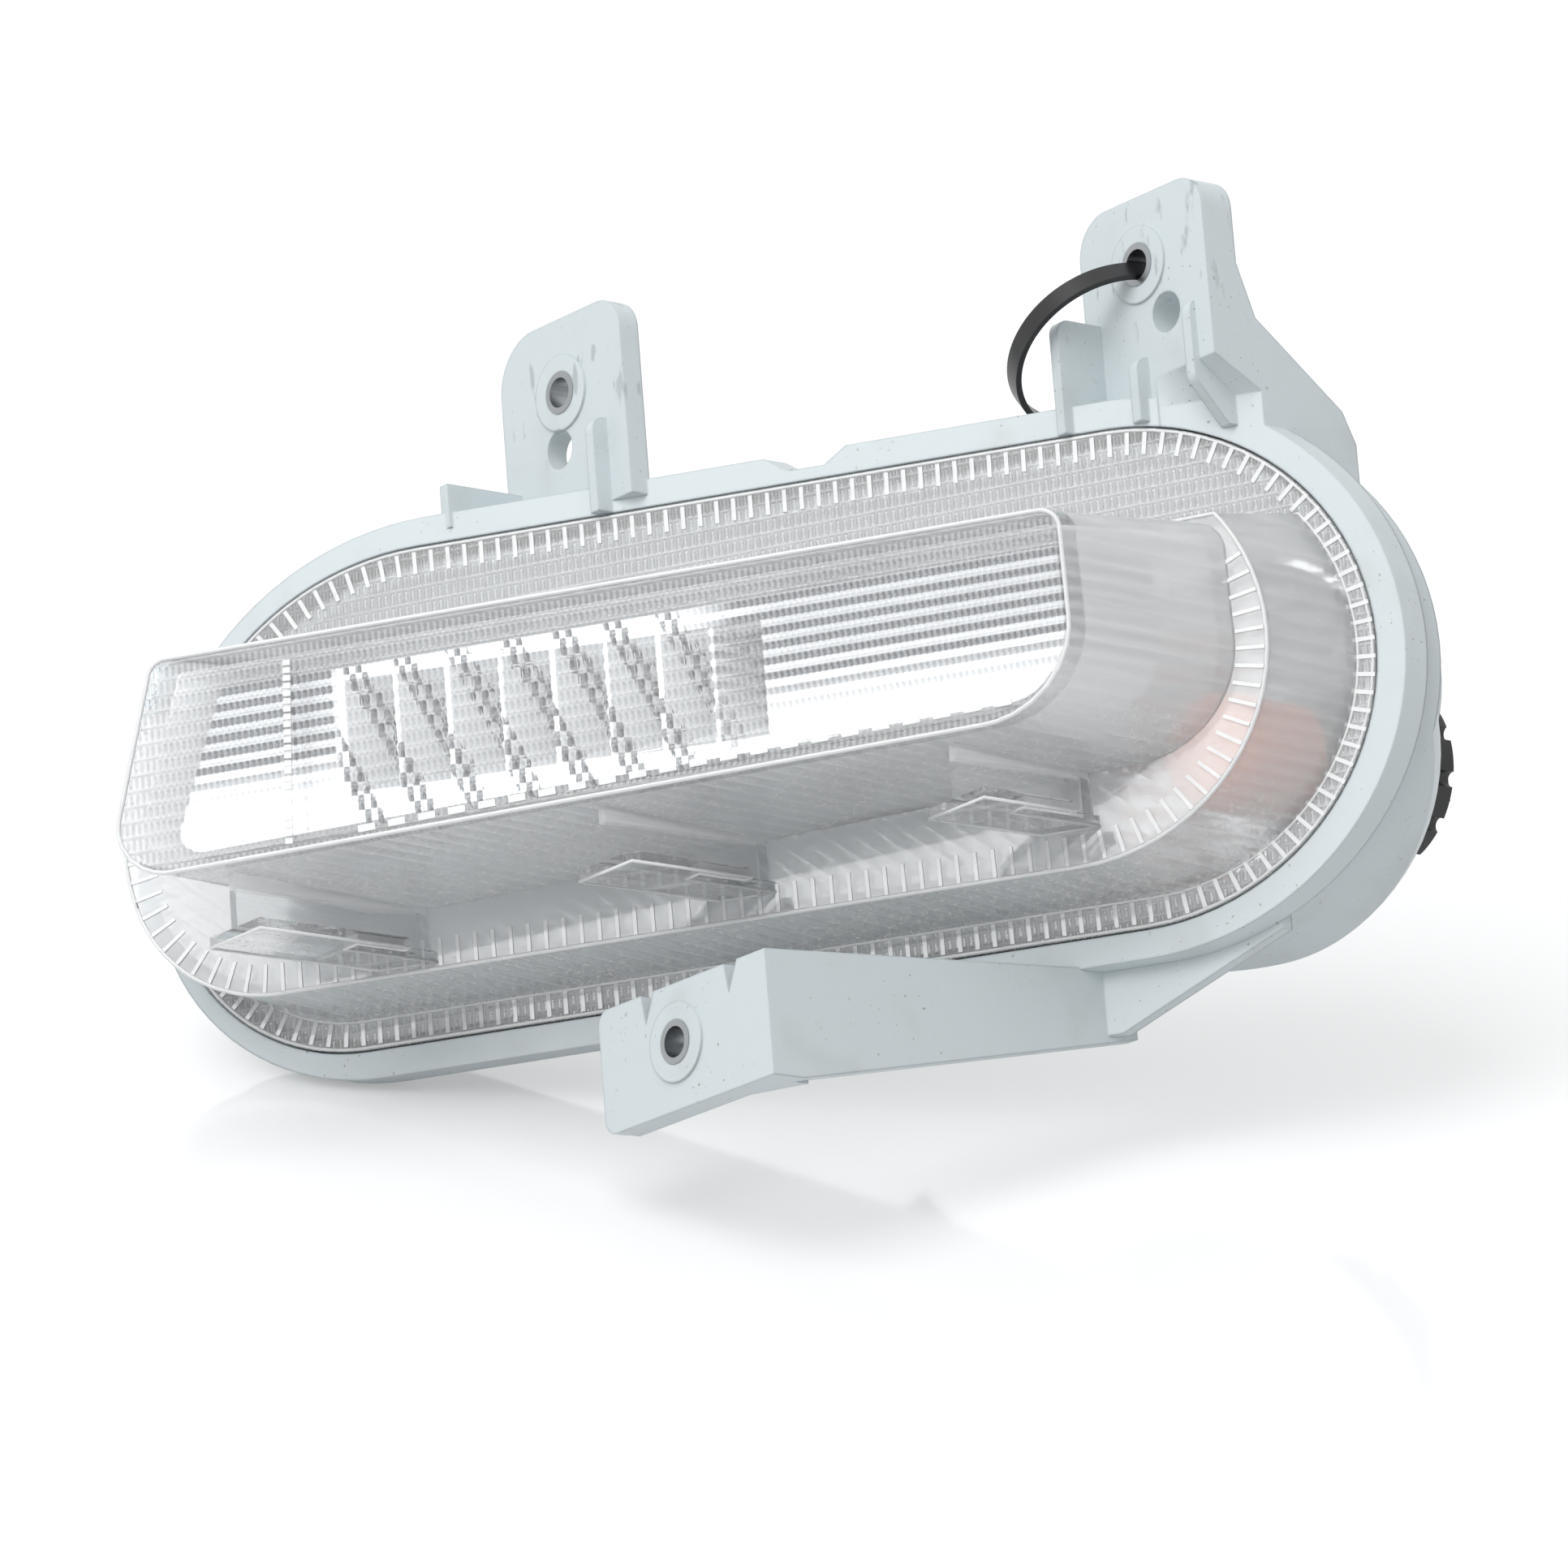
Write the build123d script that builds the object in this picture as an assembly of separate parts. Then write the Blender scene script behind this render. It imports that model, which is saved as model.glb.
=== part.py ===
"""Car front lamp with a turn indicator bulb and a row of daytime LEDs.

Millimetres. X runs to the right, Y runs back along the mould draw and the fixing
bolts, and Z runs up. The origin is the front of the left tab's bolt sleeve. While it
is built, the model stands on a working point in the lens foot's plane, and each
piece is moved to the origin when it is written.
"""
import os
from math import atan, cos, degrees, radians, sin, sqrt, tan

from build123d import *

# Lens foot: a long rounded outline in a plane swept back to the right
SWEEP = 32.75
FOOT_TOP = 63.5
FOOT_LOW = -42.3
FOOT_RIGHT_L = 74.1
FOOT_UPPER_L = -76.0
FOOT_LOWER_L = -94.0
FOOT_LOWER_R = 41.0
FOOT_THICK = 3.0

# Lens: two steps in front of the foot, closed by the window
LENS_WALL = 2.6
STEP_ROOT_INSET = 6.2
STEP_ROOT_SHIFT = 2.6
STEP_EDGE_INSET = 9.8
STEP_EDGE_SHIFT = 4.1
STEP_DEPTH = 22.0
ROOF_TILT = 0.0306
ROOF_AT_FOOT = 35.7
ROOF_AT_STEP = 33.0
WINDOW_DEPTH = 72.8
WINDOW_CLOSING = 0.116
WINDOW_THICK = 3.0
WINDOW_LEFT_LOW = (-67.7, -17.9)
WINDOW_RIGHT_LOW = (93.8, -9.4)
WINDOW_RIGHT_TOP = (93.2, 32.6)
WINDOW_LEFT_TOP = (-57.9, 27.4)
WINDOW_RADII = (10.0, 20.0, 4.0, 4.0)
WINDOW_DRAFT = 3.0
SKIRT_THICK = 2.6
SKIRT_DEPTH = 8.0

# Clear tongues under the lens that the bumper slides over
TONGUE_X = (-52.0, 10.0, 68.0)
TONGUE_WIDTH = 17.0
TONGUE_THICK = 2.2
TONGUE_DROP = 11.0
TONGUE_FRONT_GAP = 8.0
TONGUE_SLOT_WIDTH = 4.5
TONGUE_SLOT_LENGTH = 24.0
TONGUE_RIB = 2.0

# Housing: flange, sealing channel and rear bowl in one moulding
HOUSING_WALL = 2.6
FLANGE_WIDTH = 6.0
FLANGE_RIM_DEPTH = 6.0
FLANGE_LEFT_TRIM = 3.0
FOOT_CLEARANCE = 0.4
CHANNEL_WIDTH = 3.4
CHANNEL_DEPTH = 11.5
BOWL_DEPTH = 34.0
BOWL_TAPER = 9.0
FLANGE_NOTCH_FROM = 1.0
FLANGE_NOTCH_TO = 19.0
FLANGE_NOTCH_SLOPE = 5.0

# Fixing points: steel sleeves moulded into two tabs and a bracket
SLEEVE_BORE_R = 3.2
SLEEVE_R = 4.5
SLEEVE_PROUD = 0.2
PAD_R = 8.2
PAD_HEIGHT = 0.5

LEFT_TAB_Y = -17.5
LEFT_TAB_X = (-61.2, -20.6)
LEFT_TAB_TOP = 110.2
LEFT_TAB_THICK = 5.0
LEFT_BORE = (-41.1, 94.1)
LEFT_LOCATOR = (-43.0, 82.2)
LEFT_LOCATOR_R = 4.15
LEFT_TAB_RADII = (12.0, 7.0)
LEFT_RIB_X = -28.5
LEFT_RIB_TOP = 84.5
LEFT_FIN_X = -58.0
LEFT_FIN_TOP = 76.0

RIGHT_TAB_Y = 46.5
RIGHT_TAB_X = (52.6, 91.0)
RIGHT_TAB_TOP = 112.4
RIGHT_TAB_THICK = 8.2
RIGHT_BORE = (70.5, 98.0)
RIGHT_LOCATOR = (77.6, 85.7)
RIGHT_LOCATOR_R = 4.25
RIGHT_TAB_RADII = (9.0, 7.0)
RIGHT_RIB_X = (55.9, 69.5)
RIGHT_RIB_TOP = (88.6, 77.8)
RIGHT_WEDGE_X = 85.0
RIGHT_WEDGE_TOP = 86.0
RIGHT_WEDGE_BEND = 69.0
RIGHT_WEDGE_LOW = 60.0
RIGHT_SLOPE_TOP = 73.0
GUSSET_THICK = 3.0
GUSSET_TOP = 93.5
GUSSET_UPPER = (4.0, 82.2)
GUSSET_LOWER = (25.9, 65.1)
GUSSET_REACH = 29.0
GUSSET_LOW = 58.4
GUSSET_FOOT = 37.0

TAB_RIB_THICK = 2.6
TAB_RIB_PROUD = 3.0
TAB_RIB_ROUND = 3.0
TAB_SHELF_THICK = 3.0

BRACKET_Y = -51.0
BRACKET_X = (-3.5, 50.0)
BRACKET_Z = (-79.2, -53.3)
BRACKET_THICK = 3.2
BRACKET_BORE = (20.8, -65.4)
BRACKET_BOSS_DEPTH = 8.0
BRACKET_NOTCH_X = (12.5, 39.0)
BRACKET_NOTCH_WIDTH = 4.2
BRACKET_NOTCH_DEPTH = 6.3
BRACKET_LIP = 6.0
ARM_THICK = 3.2
ARM_REAR_LOW = -62.0
ARM_ROOT_L = 98.0

# LED unit inside the front of the lens, square to the window
LED_GAP = 9.0
LED_DEPTH = 24.0
LED_MARGIN = 5.6
LED_SKIN = 2.0
LED_COUNT = 8
LED_FIRST_X = -27.6
LED_PITCH = 8.8
LED_Z = 8.0
LED_CELL_WALL = 1.0
LED_CELL_HEIGHT = 24.0
LED_CHIP = 3.2
LED_CHIP_HEIGHT = 1.4
LED_CHIP_CLEARANCE = 0.5
BOARD_X = (-58.0, 62.0)
BOARD_HEIGHT = 26.0
BOARD_THICK = 1.6
SINK_PLATE = 2.5
SINK_FIN_HEIGHT = 9.0
SINK_FIN_THICK = 1.6
SINK_FIN_COUNT = 8
SINK_FIN_LEAD_GAP = 5.2
SINK_FIN_PITCH = 4.0
BOARD_SCREW_X = (-51.0, 54.0)
BOARD_SCREW_SPACING = 16.0
BOARD_SCREW_R = 1.5
BOARD_SCREW_HEAD_R = 2.8
BOARD_SCREW_HEAD = 2.0
BOARD_SCREW_GRIP = 8.0
BOARD_BOSS_R = 3.6
SCREW_CLEARANCE = 0.2

# Carrier that joins the LED unit to the back of the housing
CARRIER_PLATE = 3.0
CARRIER_WINDOW_MARGIN = 1.5
CARRIER_LEG_R = 5.5
CARRIER_LEFT_X = -42.0
CARRIER_BOWL_GAP = 5.5
CARRIER_SCREW_R = 2.0
CARRIER_SCREW_HEAD_R = 4.0
CARRIER_SCREW_HEAD = 3.0
CARRIER_SCREW_GRIP = 10.0
BOSS_WALL = 2.6
BOSS_RISE = 1.5

# Turn indicator: bulb, holder and bowl reflector on one axis along Y
BULB_X = 68.0
BULB_Z = -4.4
BULB_SEAT_Y = 100.0
BULB_R = 12.5
BULB_FRONT = 52.0
BULB_LENGTH = 34.0
BULB_SHOULDER = 5.0
BULB_BASE_R = 8.0
BULB_BASE_LENGTH = 14.0
BULB_HOLE_R = 13.4
BOWL_R = 46.0
BOWL_REAR_R = 31.0
BOWL_NECK_R = 19.0
BOWL_NECK_LENGTH = 3.0
BOWL_STEP_R = 17.0
BOWL_STEP_DEPTH = 8.0
REFLECTOR_WALL = 1.8
REFLECTOR_CLEARANCE = 0.3
REFLECTOR_LENGTH = 25.0
HOLDER_R = 19.0
HOLDER_THICK = 5.0
HOLDER_CLEARANCE = 0.4
HOLDER_NOSE_R = 11.5
HOLDER_NOSE_LENGTH = 12.0
HOLDER_LUG_THICK = 2.6
HOLDER_LUG_REACH = 2.2
HOLDER_LUG_ANGLE = 34.0
HOLDER_LUG_PLAY = 4.0
HOLDER_LUG_COUNT = 3
HOLDER_TURN = 45.0
HOLDER_GRIP_COUNT = 12
HOLDER_GRIP_R = 1.6
PLUG = (17.0, 12.0)
PLUG_DEPTH = 8.0
PLUG_WALL = 1.8
GASKET_THICK = 1.6
GASKET_INNER_R = 14.0
GASKET_OUTER_R = 17.2
CONTACT = (0.8, 2.8)
CONTACT_SPACING = 6.0
CONTACT_LENGTH = 3.4
CONTACT_ROOT = 3.0

# Back of the housing: LED socket, its lead and the breather
SOCKET_X = -8.0
SOCKET_Z = 12.0
SOCKET = (22.0, 14.0)
SOCKET_DEPTH = 17.0
SOCKET_WALL = 1.8
SOCKET_FLANGE = 2.4
SOCKET_FLANGE_THICK = 2.2
SOCKET_CLEARANCE = 0.3
SOCKET_INNER = 7.0
SOCKET_WEB = 3.0
PIN_COUNT = 3
PIN_PITCH = 5.0
PIN = 1.5
PIN_LENGTH = 10.0
LEAD_R = 1.4
LEAD_LEG_GAP = 1.4
LEAD_CLEARANCE = 0.3
BREATHER_X = 30.0
BREATHER_Z = 38.0
BREATHER_TUBE_R = 4.0
BREATHER_BORE_R = 2.6
BREATHER_TUBE_LENGTH = 11.5
BREATHER_CAP_R = 6.5
BREATHER_CAP_LENGTH = 10.0
BREATHER_CAP_GAP = 1.5

# Nylon strap looped through the right tab's sleeve
STRAP_WIDTH = 4.2
STRAP_THICK = 1.3
STRAP_LONG_R = 22.0
STRAP_SHORT_R = 20.5
STRAP_LEAN = 37.0
STRAP_PLAY = 0.05
STRAP_HEAD = (5.0, 7.0, 6.0)

# Values that follow from those above
SLOPE = tan(radians(SWEEP))
WINDOW_SLOPE = SLOPE + WINDOW_CLOSING
WINDOW_SWEEP = degrees(atan(WINDOW_SLOPE))
FOOT_HEIGHT = FOOT_TOP - FOOT_LOW
FOOT_MID = (FOOT_TOP + FOOT_LOW) / 2
FOOT_END_R = FOOT_HEIGHT / 2
FOOT_LEAN = FOOT_UPPER_L - FOOT_LOWER_L
FOOT_UPPER_R = (FOOT_HEIGHT + FOOT_LEAN**2 / (FOOT_HEIGHT - 2 * FOOT_LOWER_R)) / 2
FLANGE_GROW = FLANGE_WIDTH + FOOT_CLEARANCE
RIGHT_SLOPE_X = (RIGHT_TAB_Y + SLEEVE_PROUD) / SLOPE
CHANNEL_OUTER = FOOT_CLEARANCE + HOUSING_WALL
CHANNEL_INNER = FOOT_CLEARANCE - CHANNEL_WIDTH
CHANNEL_BACK = CHANNEL_DEPTH + HOUSING_WALL
INNER_LIP = CHANNEL_INNER - HOUSING_WALL
BULB_NECK_Y = BULB_SEAT_Y - HOUSING_WALL
BULB_STEP_Y = BULB_SEAT_Y - BOWL_STEP_DEPTH
BOWL_CENTRE_Y = BULB_STEP_Y - sqrt(BOWL_R**2 - BOWL_REAR_R**2)
CARRIER_LEG_X = (CARRIER_LEFT_X, BULB_X - BOWL_R - CARRIER_BOWL_GAP)
LEAD_X = CARRIER_LEG_X[1] - CARRIER_LEG_R - LEAD_R - LEAD_LEG_GAP
SINK_FIN_FIRST_X = LEAD_X - SINK_FIN_LEAD_GAP - SINK_FIN_PITCH * (SINK_FIN_COUNT - 1)
LED_FRONT = LED_GAP - WINDOW_DEPTH
LED_BACK = LED_FRONT + LED_DEPTH
BOARD_BACK = LED_BACK + BOARD_THICK
SINK_BACK = BOARD_BACK + SINK_PLATE
CARRIER_BACK = SINK_BACK + CARRIER_PLATE
BACK = Vector(0, 1, 0)
FAR = 400.0


def foot_y(x):
    """Y of the lens foot's plane at x."""
    return SLOPE * x


def window_y(x):
    """Y of the window's front plane at x."""
    return WINDOW_SLOPE * x - WINDOW_DEPTH


def swept_plane(back, sweep=SWEEP, offset=0.0):
    """Plane turned by the sweep, moved back along Y. Its own x is along the lamp."""
    turn = radians(sweep)
    return Plane(
        origin=(0, back + offset, 0),
        x_dir=(cos(turn), sin(turn), 0),
        z_dir=(sin(turn), -cos(turn), 0),
    )


def across(y):
    """Plane square to the mould draw at y. Its own x is X and its own y is Z."""
    return Plane(origin=(0, y, 0), x_dir=(1, 0, 0), z_dir=(0, -1, 0))


def rim_face(grow, shift=0.0):
    """Flat face parallel to the lens foot's edge, grown outwards by grow."""
    top = FOOT_TOP + grow
    low = FOOT_LOW - grow
    end_r = FOOT_END_R + grow
    right = FOOT_RIGHT_L + shift
    upper = Vector(FOOT_UPPER_L, FOOT_TOP - FOOT_UPPER_R)
    lower = Vector(FOOT_LOWER_L, FOOT_LOW + FOOT_LOWER_R)
    meet = (lower - upper).normalized()
    joint = upper + meet * (FOOT_UPPER_R + grow)
    lower_mid = lower + (meet + Vector(0, -1)).normalized() * (FOOT_LOWER_R + grow)
    upper_mid = upper + (meet + Vector(0, 1)).normalized() * (FOOT_UPPER_R + grow)
    edges = [
        Line((FOOT_UPPER_L, top), (right, top)),
        ThreePointArc((right, top), (right + end_r, FOOT_MID), (right, low)),
        Line((right, low), (FOOT_LOWER_L, low)),
        ThreePointArc((FOOT_LOWER_L, low), lower_mid, joint),
        ThreePointArc(joint, upper_mid, (FOOT_UPPER_L, top)),
    ]
    return make_face(edges)


def below_roof(height):
    """Half plane below the lens roof, which rises slightly to the right."""
    left = height - ROOF_TILT * FAR
    right = height + ROOF_TILT * FAR
    return make_face(Polyline((-FAR, -FAR), (FAR, -FAR), (FAR, right), (-FAR, left), close=True))


def draw(face, front, back, sweep=SWEEP, offset=0.0):
    """Prism along the mould draw, from depth front to depth back behind the foot's plane."""
    return extrude(swept_plane(front, sweep, offset) * face, back - front, dir=BACK)


def band(outer, inner, front, back):
    """Prism along the draw between two outlines parallel to the lens foot."""
    return draw(rim_face(outer), front, back) - draw(rim_face(inner), front, back)


def rod(x, z, radius, y_from, y_to):
    """Round bar along Y."""
    return extrude(across(y_from) * Pos(x, z) * Circle(radius), y_to - y_from, dir=BACK)


def bar(x, z, width, height, y_from, y_to):
    """Square-edged bar along Y, centred on x and z."""
    return extrude(across(y_from) * Pos(x, z) * Rectangle(width, height), y_to - y_from, dir=BACK)


def facing_right(x):
    """Plane square to X. Its own x is Y and its own y is Z."""
    return Plane(origin=(x, 0, 0), x_dir=(0, 1, 0), z_dir=(1, 0, 0))


def side_plate(x, thick, points, radii=0.0):
    """Plate square to X, centred on x, with its outline given as (y, z) points and corner radii."""
    outline = FilletPolyline(*points, radius=radii, close=True) if radii else Polyline(*points, close=True)
    return extrude(facing_right(x - thick / 2) * make_face(outline), thick)


def tab_rib(x, front, back, low, top):
    """Upright rib on a tab, rounded at its upper front corner."""
    points = [(front, low), (back, low), (back, top), (front, top)]
    return side_plate(x, TAB_RIB_THICK, points, [0, 0, 0, TAB_RIB_ROUND])


def window_face(grow, sweep):
    """Window outline on a plane of the given sweep, grown outwards by grow."""
    stretch = 1 / cos(radians(sweep))
    corners = [
        (WINDOW_LEFT_LOW[0] - grow, WINDOW_LEFT_LOW[1] - grow),
        (WINDOW_RIGHT_LOW[0] + grow, WINDOW_RIGHT_LOW[1] - grow),
        (WINDOW_RIGHT_TOP[0] + grow, WINDOW_RIGHT_TOP[1] + grow),
        (WINDOW_LEFT_TOP[0] - grow, WINDOW_LEFT_TOP[1] + grow),
    ]
    radii = [max(radius + grow, radius / 3) for radius in WINDOW_RADII]
    return make_face(FilletPolyline(*[(x * stretch, z) for x, z in corners], radius=radii, close=True))


def wall_low(x):
    """Z of the lens window block's underside at x, where it meets the step."""
    left_x, left_z = WINDOW_LEFT_LOW
    right_x, right_z = WINDOW_RIGHT_LOW
    return left_z + (right_z - left_z) * (x - left_x) / (right_x - left_x) - WINDOW_DRAFT


def step_block(inset, front, back):
    """First step of the lens, inset from its outer skin, between two depths."""
    root = rim_face(-STEP_ROOT_INSET - inset, STEP_ROOT_SHIFT) & below_roof(ROOF_AT_FOOT - inset)
    edge = rim_face(-STEP_EDGE_INSET - inset, STEP_EDGE_SHIFT) & below_roof(ROOF_AT_STEP - inset)
    return loft([swept_plane(back) * root, swept_plane(front) * edge], ruled=True)


def window_block(inset, front, back):
    """Second step of the lens, inset from its outer skin, ending front behind the window's face."""
    root = swept_plane(back) * window_face(WINDOW_DRAFT - inset, SWEEP)
    face = swept_plane(-WINDOW_DEPTH, WINDOW_SWEEP, front) * window_face(-inset, WINDOW_SWEEP)
    return loft([root, face], ruled=True)


def lens_tongue(x):
    """Slotted clear tongue on a rib under the window block."""
    top = wall_low(x) - TONGUE_DROP + TONGUE_THICK
    y_front = window_y(x) + TONGUE_FRONT_GAP
    y_back = foot_y(x) - STEP_DEPTH + LENS_WALL / 2
    mid_z = top - TONGUE_THICK / 2
    plate = bar(x, mid_z, TONGUE_WIDTH, TONGUE_THICK, y_front, y_back)
    slot_x = x + TONGUE_WIDTH / 4
    slot = bar(slot_x, mid_z, TONGUE_SLOT_WIDTH, 2 * TONGUE_THICK, y_back - TONGUE_SLOT_LENGTH, y_back)
    free_end = bar(
        x + TONGUE_WIDTH / 2,
        mid_z,
        TONGUE_WIDTH / 2 + TONGUE_SLOT_WIDTH,
        2 * TONGUE_THICK,
        y_back - TONGUE_SLOT_LENGTH / 2,
        y_back + TONGUE_WIDTH,
    )
    rib_top = wall_low(x) + WINDOW_DRAFT + LENS_WALL / 2
    rib = bar(x, (rib_top + mid_z) / 2, TONGUE_RIB, rib_top - mid_z, y_front, y_back)
    return plate - slot - free_end + rib


def lens():
    """Clear moulding: foot with sealing skirt, two hollow steps, window and tongues."""
    foot = draw(rim_face(0), 0, FOOT_THICK)
    skirt = band(0, -SKIRT_THICK, 0, SKIRT_DEPTH)
    outer = foot + skirt + step_block(0, -STEP_DEPTH, 0)
    outer = outer + window_block(0, 0, LENS_WALL / 2 - STEP_DEPTH)
    for x in TONGUE_X:
        outer = outer + lens_tongue(x)
    step_back = LENS_WALL - STEP_DEPTH
    inner = step_block(LENS_WALL, step_back, FOOT_THICK)
    inner = inner + window_block(LENS_WALL, WINDOW_THICK, step_back + LENS_WALL)
    return outer - inner


def lens_seal():
    """Bead in the bottom of the channel, under the lens skirt."""
    return band(FOOT_CLEARANCE, CHANNEL_INNER, SKIRT_DEPTH, CHANNEL_DEPTH)


def tab_plate(x_range, low, top, y, thick, radii):
    """Tab square to Y with two rounded upper corners."""
    left, right = x_range
    outline = FilletPolyline(
        (left, low), (right, low), (right, top), (left, top), radius=[0, 0, radii[1], radii[0]], close=True
    )
    return extrude(across(y) * make_face(outline), thick, dir=BACK)


def sleeve(bore, y, thick):
    """Steel bush that stands slightly proud of its tab on both sides."""
    front = y - PAD_HEIGHT - SLEEVE_PROUD
    back = y + thick + SLEEVE_PROUD
    return rod(*bore, SLEEVE_R, front, back) - rod(*bore, SLEEVE_BORE_R, front, back)


def left_tab():
    """Left fixing tab with its shelf, rib and fin, without holes."""
    low = FOOT_TOP + CHANNEL_OUTER
    left, right = LEFT_TAB_X
    back = LEFT_TAB_Y + LEFT_TAB_THICK
    plate = tab_plate(LEFT_TAB_X, low, LEFT_TAB_TOP, LEFT_TAB_Y, LEFT_TAB_THICK, LEFT_TAB_RADII)
    pad = rod(*LEFT_BORE, PAD_R, LEFT_TAB_Y - PAD_HEIGHT, LEFT_TAB_Y)
    shelf_points = Polyline(
        (left, foot_y(left)), (right, foot_y(right)), (right, back + CHANNEL_BACK), (left, back), close=True
    )
    shelf = extrude(Plane.XY.offset(low - TAB_SHELF_THICK) * make_face(shelf_points), 2 * TAB_SHELF_THICK)
    fin = side_plate(
        LEFT_FIN_X,
        TAB_RIB_THICK,
        [
            (foot_y(LEFT_FIN_X), low),
            (LEFT_TAB_Y + TAB_RIB_THICK, low),
            (LEFT_TAB_Y + TAB_RIB_THICK, LEFT_FIN_TOP),
            (foot_y(LEFT_FIN_X), LEFT_FIN_TOP),
        ],
    )
    rib_front = min(foot_y(LEFT_RIB_X), LEFT_TAB_Y) - TAB_RIB_PROUD
    rib = tab_rib(LEFT_RIB_X, rib_front, back, low - TAB_SHELF_THICK, LEFT_RIB_TOP)
    return plate + pad + shelf + fin + rib


def right_tab_run(x):
    """Line at x where the right tab's face runs back to the flange, as (y, z) points from below."""
    low = FOOT_TOP - CHANNEL_BACK
    return [(foot_y(x), low), (foot_y(x), FOOT_TOP + CHANNEL_OUTER), (RIGHT_TAB_Y, RIGHT_SLOPE_TOP)]


def right_tab_slope():
    """Space in front of the right tab's foot, where its face slopes back to the flange."""
    front = RIGHT_TAB_Y - RIGHT_TAB_THICK
    low = FOOT_TOP - CHANNEL_BACK
    sections = []
    for x in (RIGHT_SLOPE_X, RIGHT_TAB_X[1] + GUSSET_THICK):
        points = Polyline((front, low), *right_tab_run(x), (front, RIGHT_SLOPE_TOP), close=True)
        sections.append(facing_right(x) * make_face(points))
    return loft(sections, ruled=True)


def right_tab_foot():
    """Sloping foot that carries the right tab's plate back to the flange."""
    sections = []
    for x in (RIGHT_SLOPE_X, RIGHT_TAB_X[1]):
        run = right_tab_run(x)
        behind = [(y + RIGHT_TAB_THICK, z) for y, z in reversed(run)]
        sections.append(facing_right(x) * make_face(Polyline(*run, *behind, close=True)))
    return loft(sections, ruled=True)


def right_tab():
    """Right fixing tab with its shelf, ribs, wedge and long side gusset, without holes."""
    low = FOOT_TOP - CHANNEL_BACK
    left, right = RIGHT_TAB_X
    back = RIGHT_TAB_Y + RIGHT_TAB_THICK
    plate = tab_plate(RIGHT_TAB_X, low, RIGHT_TAB_TOP, RIGHT_TAB_Y, RIGHT_TAB_THICK, RIGHT_TAB_RADII)
    plate = plate - right_tab_slope() + right_tab_foot()
    tab = plate + rod(*RIGHT_BORE, PAD_R, RIGHT_TAB_Y - PAD_HEIGHT, RIGHT_TAB_Y)
    shelf_low = FOOT_TOP + FOOT_CLEARANCE
    for rib_x, rib_top in zip(RIGHT_RIB_X, RIGHT_RIB_TOP):
        rib_front = min(foot_y(rib_x), RIGHT_TAB_Y) - TAB_RIB_PROUD / 2
        tab = tab + tab_rib(rib_x, rib_front, back, shelf_low, rib_top)
    wedge_front = RIGHT_TAB_Y - TAB_RIB_PROUD / 2
    wedge_foot = foot_y(RIGHT_WEDGE_X)
    wedge = side_plate(
        RIGHT_WEDGE_X,
        TAB_RIB_THICK,
        [
            (wedge_foot - TAB_RIB_PROUD / 2, RIGHT_WEDGE_LOW),
            (wedge_foot + HOUSING_WALL, RIGHT_WEDGE_LOW),
            (wedge_foot + HOUSING_WALL, shelf_low),
            (back, RIGHT_WEDGE_TOP),
            (wedge_front, RIGHT_WEDGE_TOP),
            (wedge_front, RIGHT_WEDGE_BEND),
        ],
        [0, 0, 0, 0, TAB_RIB_ROUND, TAB_RIB_ROUND],
    )
    gusset = side_plate(
        right - GUSSET_THICK / 2,
        GUSSET_THICK,
        [
            (RIGHT_TAB_Y + RIGHT_TAB_THICK / 2, GUSSET_TOP),
            (back, GUSSET_TOP),
            (back + GUSSET_UPPER[0], GUSSET_UPPER[1]),
            (back + GUSSET_LOWER[0], GUSSET_LOWER[1]),
            (back + GUSSET_REACH, GUSSET_LOW),
            (back + GUSSET_REACH, GUSSET_FOOT),
            (RIGHT_TAB_Y + RIGHT_TAB_THICK / 2, GUSSET_FOOT),
        ],
    )
    return tab + wedge + (gusset - right_tab_slope())


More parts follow.
